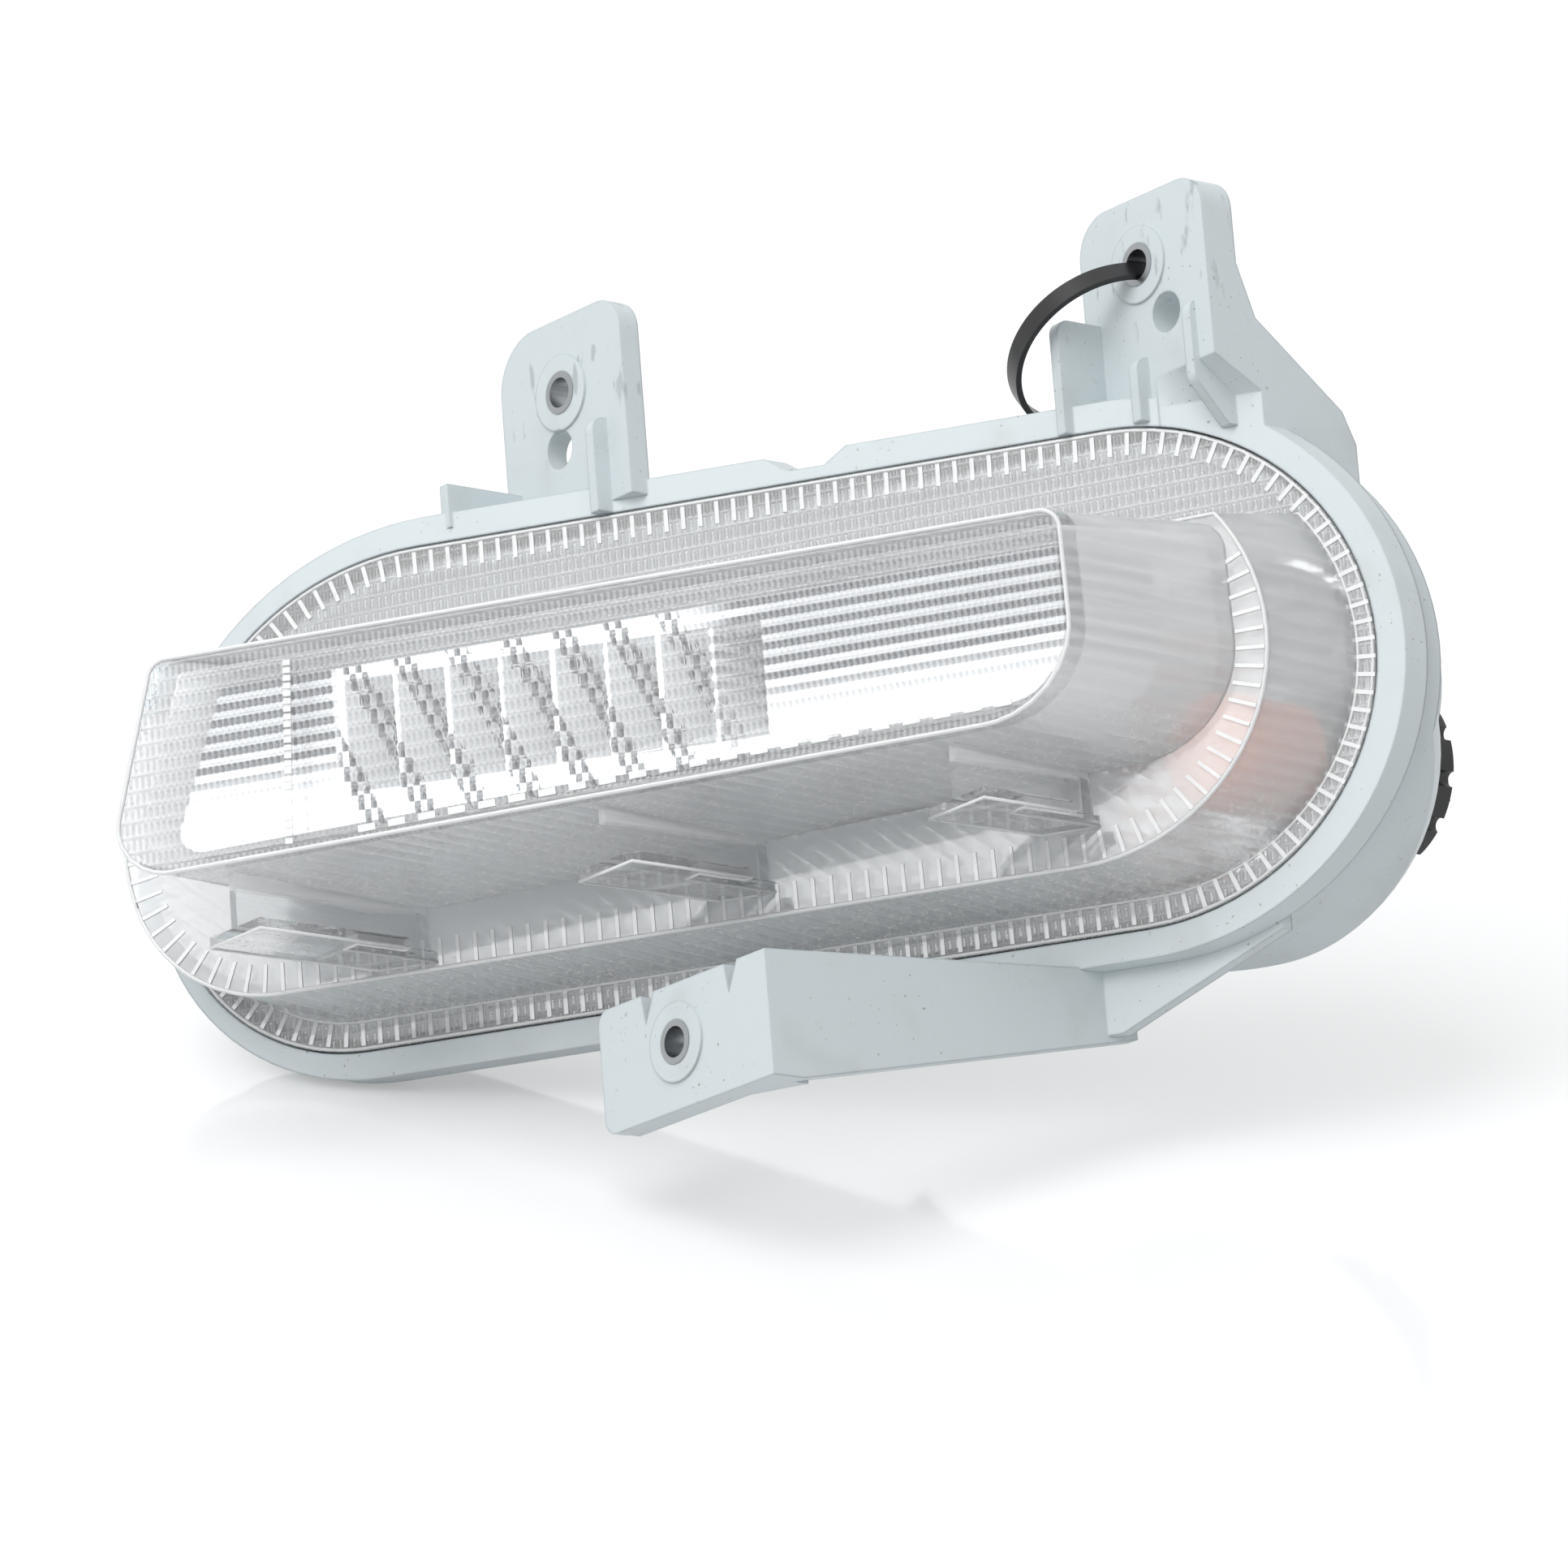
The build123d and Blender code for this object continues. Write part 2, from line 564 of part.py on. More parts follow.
def bracket():
    """Lower fixing plate on an arm that reaches forward, without holes."""
    left, right = BRACKET_X
    low, top = BRACKET_Z
    corner_r = BRACKET_THICK
    outline = make_face(
        FilletPolyline(
            (left, low),
            (right, low),
            (right, top),
            (left, top),
            radius=[corner_r, 0, corner_r, corner_r],
            close=True,
        )
    )
    for notch_x in BRACKET_NOTCH_X:
        notch = Polyline(
            (notch_x - BRACKET_NOTCH_WIDTH / 2, top + corner_r),
            (notch_x + BRACKET_NOTCH_WIDTH / 2, top + corner_r),
            (notch_x + BRACKET_NOTCH_WIDTH / 2, top),
            (notch_x - BRACKET_NOTCH_WIDTH / 4, top - BRACKET_NOTCH_DEPTH),
            (notch_x - BRACKET_NOTCH_WIDTH / 2, top),
            close=True,
        )
        outline = outline - make_face(notch)
    plate = extrude(across(BRACKET_Y) * outline, BRACKET_THICK, dir=BACK)
    pad = rod(*BRACKET_BORE, PAD_R, BRACKET_Y - PAD_HEIGHT, BRACKET_Y)
    boss = rod(*BRACKET_BORE, SLEEVE_R + BOSS_WALL, BRACKET_Y, BRACKET_Y + BRACKET_BOSS_DEPTH)
    lip = bar(
        (left + right) / 2,
        low + BRACKET_THICK / 2,
        right - left - 2 * corner_r,
        BRACKET_THICK,
        BRACKET_Y,
        BRACKET_Y + BRACKET_LIP,
    )
    arm_x = right - ARM_THICK / 2
    arm_back = foot_y(right) + CHANNEL_BACK
    arm = side_plate(
        arm_x,
        ARM_THICK,
        [
            (BRACKET_Y, low),
            (BRACKET_Y + BRACKET_BOSS_DEPTH, low),
            (arm_back, ARM_REAR_LOW),
            (arm_back, FOOT_LOW),
            (foot_y(right) + HOUSING_WALL, FOOT_LOW - CHANNEL_OUTER),
            (foot_y(right), FOOT_LOW - FLANGE_WIDTH),
            (BRACKET_Y, top),
        ],
    )
    rear_l = right / cos(radians(SWEEP))
    root = draw(
        make_face(
            Polyline(
                (rear_l - ARM_THICK, ARM_REAR_LOW),
                (rear_l + ARM_THICK, ARM_REAR_LOW),
                (ARM_ROOT_L, FOOT_LOW - FLANGE_WIDTH / 2),
                (ARM_ROOT_L, FOOT_MID - FOOT_END_R + FLANGE_WIDTH),
                (rear_l - ARM_THICK, FOOT_LOW),
                close=True,
            )
        ),
        FLANGE_RIM_DEPTH,
        FLANGE_RIM_DEPTH + HOUSING_WALL,
    )
    web = extrude(
        Plane.XY.offset(low)
        * make_face(
            Polyline(
                (right - ARM_THICK, BRACKET_Y),
                (right - ARM_THICK, BRACKET_Y + BRACKET_THICK + PAD_R),
                (BRACKET_BORE[0] + PAD_R, BRACKET_Y + BRACKET_THICK),
                (BRACKET_BORE[0] + PAD_R, BRACKET_Y),
                close=True,
            )
        ),
        BRACKET_THICK,
    )
    return plate + pad + boss + lip + arm + root + web


def rear_wall_y(x):
    """Y of the housing's rear outer face at x."""
    return foot_y(x) + BOWL_DEPTH


def carrier_seat_y(x):
    """Y of the flat inside a screw boss on the rear wall."""
    return rear_wall_y(x) - HOUSING_WALL - (CARRIER_LEG_R + BOSS_WALL) * SLOPE - BOSS_RISE


def screw_seat_y(x):
    """Y of the flat outside a screw boss on the rear wall."""
    return rear_wall_y(x) + (CARRIER_LEG_R + BOSS_WALL) * SLOPE + BOSS_RISE


def screw_bosses():
    """Solid bosses on the rear wall for the carrier's screws."""
    radius = CARRIER_LEG_R + BOSS_WALL
    left, right = [rod(x, LED_Z, radius, carrier_seat_y(x), screw_seat_y(x)) for x in CARRIER_LEG_X]
    return left + right


def socket_seat_y():
    """Y of the flat pad that the LED socket's flange sits on."""
    return rear_wall_y(SOCKET_X + SOCKET[0] / 2 + SOCKET_FLANGE) + SOCKET_CLEARANCE


def bowl(grow, back):
    """Tapered bowl behind the channel, whose mouth is grown by grow and whose floor is at back."""
    mouth = swept_plane(CHANNEL_BACK) * rim_face(grow)
    floor = swept_plane(back) * rim_face(grow - BOWL_TAPER)
    return loft([mouth, floor], ruled=True)


def bulb_disc(radius, y_from, y_to):
    """Round bar on the bulb's axis."""
    return rod(BULB_X, BULB_Z, radius, y_from, y_to)


def bulb_ball(inset, y_from, y_to):
    """Slice of a ball on the bulb's axis, inset from the bulb bowl's outer skin."""
    ball = Pos(BULB_X, BOWL_CENTRE_Y, BULB_Z) * Sphere(BOWL_R - inset)
    return ball & bulb_disc(BOWL_R, y_from, y_to)


def bulb_sectors(radius, width, y_from, y_to, start):
    """Equal sectors about the bulb's axis, for the holder's lugs and the notches they pass."""
    half = radians(width / 2)
    side = (2 * radius * cos(half), 2 * radius * sin(half))
    wedge = make_face(Polyline((0, 0), (side[0], -side[1]), side, close=True)) & Circle(radius)
    sectors = Part()
    for index in range(HOLDER_LUG_COUNT):
        turned = Pos(BULB_X, BULB_Z) * Rot(0, 0, start + 360 / HOLDER_LUG_COUNT * index) * wedge
        sectors = sectors + extrude(across(y_from) * turned, y_to - y_from, dir=BACK)
    return sectors


def flange_notch():
    """Dip in the flange's upper edge, between the two tabs."""
    top = FOOT_TOP + FLANGE_GROW
    low = FOOT_TOP + CHANNEL_OUTER
    outline = Polyline(
        (FLANGE_NOTCH_FROM - FLANGE_NOTCH_SLOPE, top + FLANGE_GROW),
        (FLANGE_NOTCH_FROM, top),
        (FLANGE_NOTCH_FROM + FLANGE_NOTCH_SLOPE, low),
        (FLANGE_NOTCH_TO - FLANGE_NOTCH_SLOPE, low),
        (FLANGE_NOTCH_TO, top),
        (FLANGE_NOTCH_TO + FLANGE_NOTCH_SLOPE, top + FLANGE_GROW),
        close=True,
    )
    return draw(make_face(outline), -FLANGE_RIM_DEPTH, CHANNEL_BACK)


def flange_face(grow):
    """Flange outline, grown from the lens foot by grow and drawn in at the left end."""
    return rim_face(grow) & (Pos(FLANGE_LEFT_TRIM, 0) * rim_face(grow))


def flange():
    """Flange with its rim, the channel around the lens skirt and the lip inside the channel."""
    plate = draw(flange_face(FLANGE_GROW), 0, FLANGE_RIM_DEPTH)
    plate = plate - draw(flange_face(FLANGE_GROW - HOUSING_WALL), HOUSING_WALL, FLANGE_RIM_DEPTH)
    plate = plate - draw(rim_face(FOOT_CLEARANCE), 0, FLANGE_RIM_DEPTH)
    outer_wall = band(CHANNEL_OUTER, FOOT_CLEARANCE, 0, CHANNEL_BACK)
    floor = band(CHANNEL_OUTER, INNER_LIP, CHANNEL_DEPTH, CHANNEL_BACK)
    lip = band(CHANNEL_INNER, INNER_LIP, FOOT_THICK + FOOT_CLEARANCE, CHANNEL_BACK)
    return plate - flange_notch() + outer_wall + floor + lip


def housing():
    """Grey moulding: flange, channel, rear bowl, bulb bowl, tabs and bracket."""
    lens_space = draw(rim_face(FOOT_CLEARANCE), -FAR / 4, CHANNEL_DEPTH)
    fixings = left_tab() + right_tab() + bracket() - lens_space
    behind = draw(rim_face(CHANNEL_OUTER), CHANNEL_DEPTH, FAR)
    inside = draw(rim_face(INNER_LIP), -FAR / 4, FAR)
    neck_y = BULB_SEAT_Y - BOWL_NECK_LENGTH
    shell = flange() + fixings + bowl(CHANNEL_INNER, BOWL_DEPTH)
    shell = shell + (bulb_ball(0, BOWL_CENTRE_Y - BOWL_R, neck_y) & behind)
    shell = shell + bulb_disc(BOWL_NECK_R, BULB_STEP_Y, BULB_SEAT_Y) + screw_bosses()
    seat_y = socket_seat_y()
    pad = (SOCKET[0] + 2 * SOCKET_FLANGE, SOCKET[1] + 2 * SOCKET_FLANGE)
    pad_y = rear_wall_y(SOCKET_X - pad[0] / 2) - HOUSING_WALL
    tube_y = rear_wall_y(BREATHER_X) + BREATHER_TUBE_LENGTH
    shell = shell + bar(SOCKET_X, SOCKET_Z, *pad, pad_y, seat_y)
    shell = shell + rod(BREATHER_X, BREATHER_Z, BREATHER_TUBE_R, tube_y - 2 * BREATHER_TUBE_LENGTH, tube_y)
    hollow = draw(rim_face(INNER_LIP), 0, CHANNEL_BACK) + bowl(INNER_LIP, BOWL_DEPTH - HOUSING_WALL)
    hollow = hollow + (bulb_ball(HOUSING_WALL, BOWL_CENTRE_Y - BOWL_R, BULB_STEP_Y) & inside)
    hollow = hollow + bulb_disc(BOWL_STEP_R, BULB_STEP_Y - HOUSING_WALL, BULB_NECK_Y)
    shell = shell - (hollow - screw_bosses())
    cuts = bulb_disc(BULB_HOLE_R, BULB_NECK_Y - HOUSING_WALL, BULB_SEAT_Y)
    notch_r = BULB_HOLE_R + HOLDER_LUG_REACH
    notch_angle = HOLDER_LUG_ANGLE + HOLDER_LUG_PLAY
    cuts = cuts + bulb_sectors(notch_r, notch_angle, BULB_NECK_Y - HOUSING_WALL, BULB_SEAT_Y, -HOLDER_TURN)
    for x in CARRIER_LEG_X:
        cuts = cuts + rod(x, LED_Z, CARRIER_SCREW_R + SCREW_CLEARANCE, carrier_seat_y(x), screw_seat_y(x))
    cuts = cuts + rod(BREATHER_X, BREATHER_Z, BREATHER_BORE_R, tube_y - 3 * BREATHER_TUBE_LENGTH, tube_y)
    opening = (SOCKET[0] + 2 * SOCKET_CLEARANCE, SOCKET[1] + 2 * SOCKET_CLEARANCE)
    cuts = cuts + bar(SOCKET_X, SOCKET_Z, *opening, pad_y - HOUSING_WALL, seat_y)
    cuts = cuts + rod(*LEFT_BORE, SLEEVE_R, LEFT_TAB_Y - PAD_R, LEFT_TAB_Y + PAD_R)
    cuts = cuts + rod(*LEFT_LOCATOR, LEFT_LOCATOR_R, LEFT_TAB_Y - PAD_R, LEFT_TAB_Y + PAD_R)
    right_back = RIGHT_TAB_Y + RIGHT_TAB_THICK + PAD_R
    cuts = cuts + rod(*RIGHT_BORE, SLEEVE_R, RIGHT_TAB_Y - PAD_R, right_back)
    cuts = cuts + rod(*RIGHT_LOCATOR, RIGHT_LOCATOR_R, RIGHT_TAB_Y - PAD_R, right_back)
    cuts = cuts + rod(*BRACKET_BORE, SLEEVE_R, BRACKET_Y - PAD_R, BRACKET_Y + BRACKET_BOSS_DEPTH + PAD_R)
    return shell - cuts


def left_tab_sleeve():
    """Sleeve in the left tab."""
    return sleeve(LEFT_BORE, LEFT_TAB_Y, LEFT_TAB_THICK)


def right_tab_sleeve():
    """Sleeve in the right tab."""
    return sleeve(RIGHT_BORE, RIGHT_TAB_Y, RIGHT_TAB_THICK)


def bracket_sleeve():
    """Sleeve in the lower bracket."""
    return sleeve(BRACKET_BORE, BRACKET_Y, BRACKET_BOSS_DEPTH)


def window_plane(y):
    """Plane parallel to the window that crosses the Y axis at y."""
    return swept_plane(y, WINDOW_SWEEP)


def along(x):
    """Distance along a plane parallel to the window for a given x."""
    return x / cos(radians(WINDOW_SWEEP))


def led_prism(face, y_from, y_to):
    """Prism along Y between two planes parallel to the window."""
    return extrude(window_plane(y_from) * face, y_to - y_from, dir=BACK)


def led_panel(height, x_from, x_to):
    """Rectangle on a plane parallel to the window, centred on the row of LEDs."""
    middle = along((x_from + x_to) / 2)
    return Pos(middle, LED_Z) * Rectangle(along(x_to - x_from), height)


def board_spots():
    """Places of the board's screws on a plane parallel to the window."""
    spots = []
    for x in BOARD_SCREW_X:
        spots.append((along(x), LED_Z - BOARD_SCREW_SPACING / 2))
        spots.append((along(x), LED_Z + BOARD_SCREW_SPACING / 2))
    return spots


def stack_height():
    """Thickness of the board, heat sink and carrier together, square to the window."""
    return (CARRIER_BACK - LED_BACK) * cos(radians(WINDOW_SWEEP))


def square_rods(radius, front, back):
    """Round bars square to the window at the board's screws, reaching front and back of the board's face."""
    circles = Sketch()
    for spot in board_spots():
        circles = circles + Pos(*spot) * Circle(radius)
    return extrude(window_plane(LED_BACK).offset(-back) * circles, front + back)


def led_reflector():
    """Plated reflector: a tray with a row of square cells that narrow to the LEDs."""
    outline = window_face(-LED_MARGIN, WINDOW_SWEEP)
    tray = led_prism(outline, LED_FRONT, LED_BACK)
    first = LED_FIRST_X - LED_PITCH / 2 - LED_CELL_WALL
    last = LED_FIRST_X + LED_PITCH * (LED_COUNT - 1 / 2) + LED_CELL_WALL
    core = led_prism(led_panel(LED_CELL_HEIGHT + 2 * LED_CELL_WALL, first, last), LED_FRONT, LED_BACK)
    hollow = led_prism(window_face(-LED_MARGIN - LED_SKIN, WINDOW_SWEEP), LED_FRONT + LED_SKIN, LED_BACK)
    depth = LED_DEPTH * cos(radians(WINDOW_SWEEP))
    bosses = square_rods(BOARD_BOSS_R, depth - LED_SKIN / 2, 0)
    reflector = tray - (hollow - core - bosses)
    throat = LED_CHIP + 2 * LED_CHIP_CLEARANCE
    for index in range(LED_COUNT):
        place = Pos(along(LED_FIRST_X + LED_PITCH * index), LED_Z)
        mouth = window_plane(LED_FRONT) * place * Rectangle(along(LED_PITCH) - LED_CELL_WALL, LED_CELL_HEIGHT)
        rear = window_plane(LED_BACK) * place * Rectangle(throat, throat)
        reflector = reflector - loft([mouth, rear], ruled=True)
    return reflector - square_rods(BOARD_SCREW_R, BOARD_SCREW_GRIP, 0)


def led_board():
    """Circuit board behind the reflector."""
    board = led_prism(led_panel(BOARD_HEIGHT, *BOARD_X), LED_BACK, BOARD_BACK)
    return board - square_rods(BOARD_SCREW_R + SCREW_CLEARANCE, 0, stack_height())


def led_chips():
    """Row of LED packages on the front of the board."""
    chips = Part()
    for index in range(LED_COUNT):
        face = Pos(along(LED_FIRST_X + LED_PITCH * index), LED_Z) * Rectangle(LED_CHIP, LED_CHIP)
        chips = chips + led_prism(face, LED_BACK - LED_CHIP_HEIGHT, LED_BACK)
    return chips


def lead_hole(y_from, y_to):
    """Hole along Y that lets the lead through to the board."""
    return rod(LEAD_X, LED_Z, LEAD_R + LEAD_CLEARANCE, y_from, y_to)


def heat_sink():
    """Plate with upright fins on the back of the board."""
    sink = led_prism(led_panel(BOARD_HEIGHT, *BOARD_X), BOARD_BACK, SINK_BACK)
    for index in range(SINK_FIN_COUNT):
        x = SINK_FIN_FIRST_X + SINK_FIN_PITCH * index
        fin = led_panel(BOARD_HEIGHT - 2 * SINK_FIN_THICK, x - SINK_FIN_THICK / 2, x + SINK_FIN_THICK / 2)
        sink = sink + led_prism(fin, SINK_BACK - SINK_PLATE / 2, SINK_BACK + SINK_FIN_HEIGHT)
    sink = sink - square_rods(BOARD_SCREW_R + SCREW_CLEARANCE, 0, stack_height())
    return sink - lead_hole(window_y(LEAD_X), foot_y(LEAD_X))


def carrier_plate():
    """Frame behind the heat sink with an opening for its fins."""
    frame = led_prism(led_panel(BOARD_HEIGHT, *BOARD_X), SINK_BACK, CARRIER_BACK)
    gap = SINK_FIN_THICK / 2 + CARRIER_WINDOW_MARGIN
    first = SINK_FIN_FIRST_X - gap
    last = SINK_FIN_FIRST_X + SINK_FIN_PITCH * (SINK_FIN_COUNT - 1) + gap
    window = led_panel(BOARD_HEIGHT - 2 * SINK_FIN_THICK + 2 * SCREW_CLEARANCE, first, last)
    return frame - led_prism(window, SINK_BACK, CARRIER_BACK)


def led_carrier():
    """Moulded frame with two legs that stand on the housing's screw bosses."""
    carrier = carrier_plate() - square_rods(BOARD_SCREW_R + SCREW_CLEARANCE, 0, stack_height())
    for x in CARRIER_LEG_X:
        leg = rod(x, LED_Z, CARRIER_LEG_R, window_y(x), carrier_seat_y(x))
        behind = led_prism(led_panel(FAR / 4, *BOARD_X), SINK_BACK, FAR)
        seat_y = carrier_seat_y(x)
        bore = rod(x, LED_Z, CARRIER_SCREW_R, seat_y - CARRIER_SCREW_GRIP, seat_y)
        carrier = carrier + (leg & behind) - bore
    return carrier - lead_hole(window_y(LEAD_X), foot_y(LEAD_X))


def board_screws():
    """Screws through the carrier, heat sink and board into the reflector's bosses."""
    stack = stack_height()
    shanks = square_rods(BOARD_SCREW_R, BOARD_SCREW_GRIP, stack)
    return shanks + square_rods(BOARD_SCREW_HEAD_R, -stack, stack + BOARD_SCREW_HEAD)


def carrier_screws():
    """Screws from behind the housing into the carrier's legs."""
    screws = Part()
    for x in CARRIER_LEG_X:
        seat_y = screw_seat_y(x)
        screws = screws + rod(x, LED_Z, CARRIER_SCREW_R, carrier_seat_y(x) - CARRIER_SCREW_GRIP, seat_y)
        screws = screws + rod(x, LED_Z, CARRIER_SCREW_HEAD_R, seat_y, seat_y + CARRIER_SCREW_HEAD)
    return screws


def turn_reflector():
    """Plated bowl around the bulb, seated on the step in the bulb bowl."""
    inset = HOUSING_WALL + REFLECTOR_CLEARANCE
    front = BULB_STEP_Y - REFLECTOR_LENGTH
    outer = bulb_ball(inset, front, BULB_STEP_Y)
    inner = bulb_ball(inset + REFLECTOR_WALL, front, BULB_STEP_Y)
    return (outer - inner) & draw(rim_face(INNER_LIP - REFLECTOR_WALL), CHANNEL_BACK, FAR)


def bulb_base_front():
    """Y where the bulb's glass meets its base."""
    return BULB_SEAT_Y - BULB_FRONT + BULB_LENGTH


def amber_bulb():
    """Amber glass with a round nose and a shoulder down to the base."""
    front = BULB_SEAT_Y - BULB_FRONT
    back = bulb_base_front()
    nose = BULB_R * sqrt(1 / 2)
    edges = [
        ThreePointArc((0, front), (nose, front + BULB_R - nose), (BULB_R, front + BULB_R)),
        Polyline(
            (BULB_R, front + BULB_R),
            (BULB_R, back - BULB_SHOULDER),
            (BULB_BASE_R, back),
            (0, back),
            (0, front),
        ),
    ]
    profile = Plane.XY * make_face(edges)
    return Pos(BULB_X, 0, BULB_Z) * revolve(profile, Axis.Y)


def bulb_base():
    """Metal base of the bulb, seated in the holder's nose."""
    return bulb_disc(BULB_BASE_R, bulb_base_front(), bulb_base_front() + BULB_BASE_LENGTH)


def holder_back():
    """Y of the back of the holder's disc."""
    return BULB_SEAT_Y + GASKET_THICK + HOLDER_THICK


def contact_places():
    """X of the two contacts in the holder's plug."""
    return (BULB_X - CONTACT_SPACING / 2, BULB_X + CONTACT_SPACING / 2)


def bulb_holder():
    """Black holder: gripped disc, neck with lugs, nose around the bulb's base, and plug."""
    back = holder_back()
    disc_front = BULB_SEAT_Y + GASKET_THICK
    lug_back = BULB_NECK_Y - SCREW_CLEARANCE
    lug_front = lug_back - HOLDER_LUG_THICK
    neck_r = BULB_HOLE_R - HOLDER_CLEARANCE
    lug_r = neck_r + HOLDER_LUG_REACH
    nose_front = lug_front - HOLDER_NOSE_LENGTH
    holder = bulb_disc(HOLDER_R, disc_front, back) + bulb_disc(neck_r, lug_front, disc_front)
    holder = holder + bulb_sectors(lug_r, HOLDER_LUG_ANGLE, lug_front, lug_back, 0)
    holder = holder + bulb_disc(HOLDER_NOSE_R, nose_front, lug_front)
    for index in range(HOLDER_GRIP_COUNT):
        angle = radians(360 / HOLDER_GRIP_COUNT * (index + 1 / 2))
        x = BULB_X + HOLDER_R * cos(angle)
        z = BULB_Z + HOLDER_R * sin(angle)
        holder = holder - rod(x, z, HOLDER_GRIP_R, disc_front, back)
    holder = holder + bar(BULB_X, BULB_Z, *PLUG, back - HOLDER_THICK / 2, back + PLUG_DEPTH)
    cavity = (PLUG[0] - 2 * PLUG_WALL, PLUG[1] - 2 * PLUG_WALL)
    holder = holder - bar(BULB_X, BULB_Z, *cavity, back, back + PLUG_DEPTH)
    holder = holder - bulb_disc(BULB_BASE_R, nose_front, bulb_base_front() + BULB_BASE_LENGTH)
    for x in contact_places():
        holder = holder - bar(x, BULB_Z, *CONTACT, back - CONTACT_ROOT, back)
    return holder


def holder_contacts():
    """Two contact blades in the holder's plug."""
    left, right = [
        bar(x, BULB_Z, *CONTACT, holder_back() - CONTACT_ROOT, holder_back() + CONTACT_LENGTH)
        for x in contact_places()
    ]
    return left + right


def holder_gasket():
    """Flat rubber ring between the holder's disc and the housing."""
    back = BULB_SEAT_Y + GASKET_THICK
    return bulb_disc(GASKET_OUTER_R, BULB_SEAT_Y, back) - bulb_disc(GASKET_INNER_R, BULB_SEAT_Y, back)


def pin_places():
    """X of the pins in the LED socket."""
    middle = (PIN_COUNT - 1) / 2
    return [SOCKET_X + PIN_PITCH * (index - middle) for index in range(PIN_COUNT)]


def led_socket():
    """Black socket through the housing's rear wall, open to the back."""
    seat_y = socket_seat_y()
    back = seat_y + SOCKET_DEPTH
    flange_size = (SOCKET[0] + 2 * SOCKET_FLANGE, SOCKET[1] + 2 * SOCKET_FLANGE)
    body = bar(SOCKET_X, SOCKET_Z, *SOCKET, seat_y - SOCKET_INNER, back)
    body = body + bar(SOCKET_X, SOCKET_Z, *flange_size, seat_y, seat_y + SOCKET_FLANGE_THICK)
    floor_y = seat_y - SOCKET_INNER + SOCKET_WEB
    cavity = (SOCKET[0] - 2 * SOCKET_WALL, SOCKET[1] - 2 * SOCKET_WALL)
    body = body - bar(SOCKET_X, SOCKET_Z, *cavity, floor_y, back)
    for x in pin_places():
        body = body - bar(x, SOCKET_Z, PIN, PIN, floor_y - SOCKET_WEB, floor_y)
    return body


def socket_pins():
    """Pins through the socket's floor."""
    front = socket_seat_y() - SOCKET_INNER
    pins = Part()
    for x in pin_places():
        pins = pins + bar(x, SOCKET_Z, PIN, PIN, front, front + SOCKET_WEB + PIN_LENGTH)
    return pins


def led_lead():
    """Sheathed lead from the socket's front to the back of the board."""
    start = (SOCKET_X, socket_seat_y() - SOCKET_INNER, SOCKET_Z)
    board_y = BOARD_BACK + WINDOW_SLOPE * (LEAD_X + LEAD_R)
    end = (LEAD_X, board_y, LED_Z)
    path = Spline(start, end, tangents=[(0, -1, 0), (0, -1, 0)])
    section = Plane(origin=start, z_dir=(0, -1, 0)) * Circle(LEAD_R)
    return sweep(section, path=path)


def vent_cap():
    """Rubber cap over the breather tube, with an air gap at the tube's end."""
    tube_y = rear_wall_y(BREATHER_X) + BREATHER_TUBE_LENGTH
    back = tube_y + BREATHER_CAP_GAP + BREATHER_CAP_R - BREATHER_TUBE_R
    front = back - BREATHER_CAP_LENGTH
    cap = rod(BREATHER_X, BREATHER_Z, BREATHER_CAP_R, front, back)
    cap = cap - rod(BREATHER_X, BREATHER_Z, BREATHER_TUBE_R, front, tube_y + BREATHER_CAP_GAP)
    groove_z = BREATHER_Z - BREATHER_CAP_R / 2
    return cap - bar(BREATHER_X, groove_z, BREATHER_CAP_GAP, BREATHER_CAP_R, front, back)


def cable_tie():
    """Nylon strap looped through the right tab's sleeve and round the tab's edge."""
    lean = radians(STRAP_LEAN)
    aim = Vector(-cos(lean), 0, -sin(lean))
    inner_long = STRAP_LONG_R - STRAP_THICK
    inner_short = STRAP_SHORT_R - STRAP_THICK
    half = (RIGHT_TAB_THICK + PAD_HEIGHT + 2 * SLEEVE_PROUD) / 2
    middle_y = RIGHT_TAB_Y + (RIGHT_TAB_THICK - PAD_HEIGHT) / 2
    seat = sqrt(SLEEVE_BORE_R**2 - (STRAP_WIDTH / 2) ** 2)
    sag = inner_short * (1 - sqrt(1 - (half / inner_long) ** 2))
    reach = seat - sag - STRAP_PLAY + inner_short
    centre = Vector(RIGHT_BORE[0], middle_y, RIGHT_BORE[1]) + aim * reach
    plane = Plane(origin=centre, x_dir=aim, z_dir=aim.cross(BACK))
    loop = Ellipse(STRAP_SHORT_R, STRAP_LONG_R) - Ellipse(inner_short, inner_long)
    strap = extrude(plane * loop, STRAP_WIDTH / 2, both=True)
    head = plane * Pos(0, STRAP_LONG_R) * Box(*STRAP_HEAD)
    return strap + head


PIECES = {
    "housing": housing,
    "lens": lens,
    "lens_seal": lens_seal,
    "left_tab_sleeve": left_tab_sleeve,
    "right_tab_sleeve": right_tab_sleeve,
    "bracket_sleeve": bracket_sleeve,
    "led_reflector": led_reflector,
    "led_board": led_board,
    "led_chips": led_chips,
    "heat_sink": heat_sink,
    "board_screws": board_screws,
    "led_carrier": led_carrier,
    "carrier_screws": carrier_screws,
    "turn_reflector": turn_reflector,
    "amber_bulb": amber_bulb,
    "bulb_base": bulb_base,
    "bulb_holder": bulb_holder,
    "holder_gasket": holder_gasket,
    "holder_contacts": holder_contacts,
    "led_socket": led_socket,
    "socket_pins": socket_pins,
    "led_lead": led_lead,
    "vent_cap": vent_cap,
    "cable_tie": cable_tie,
}


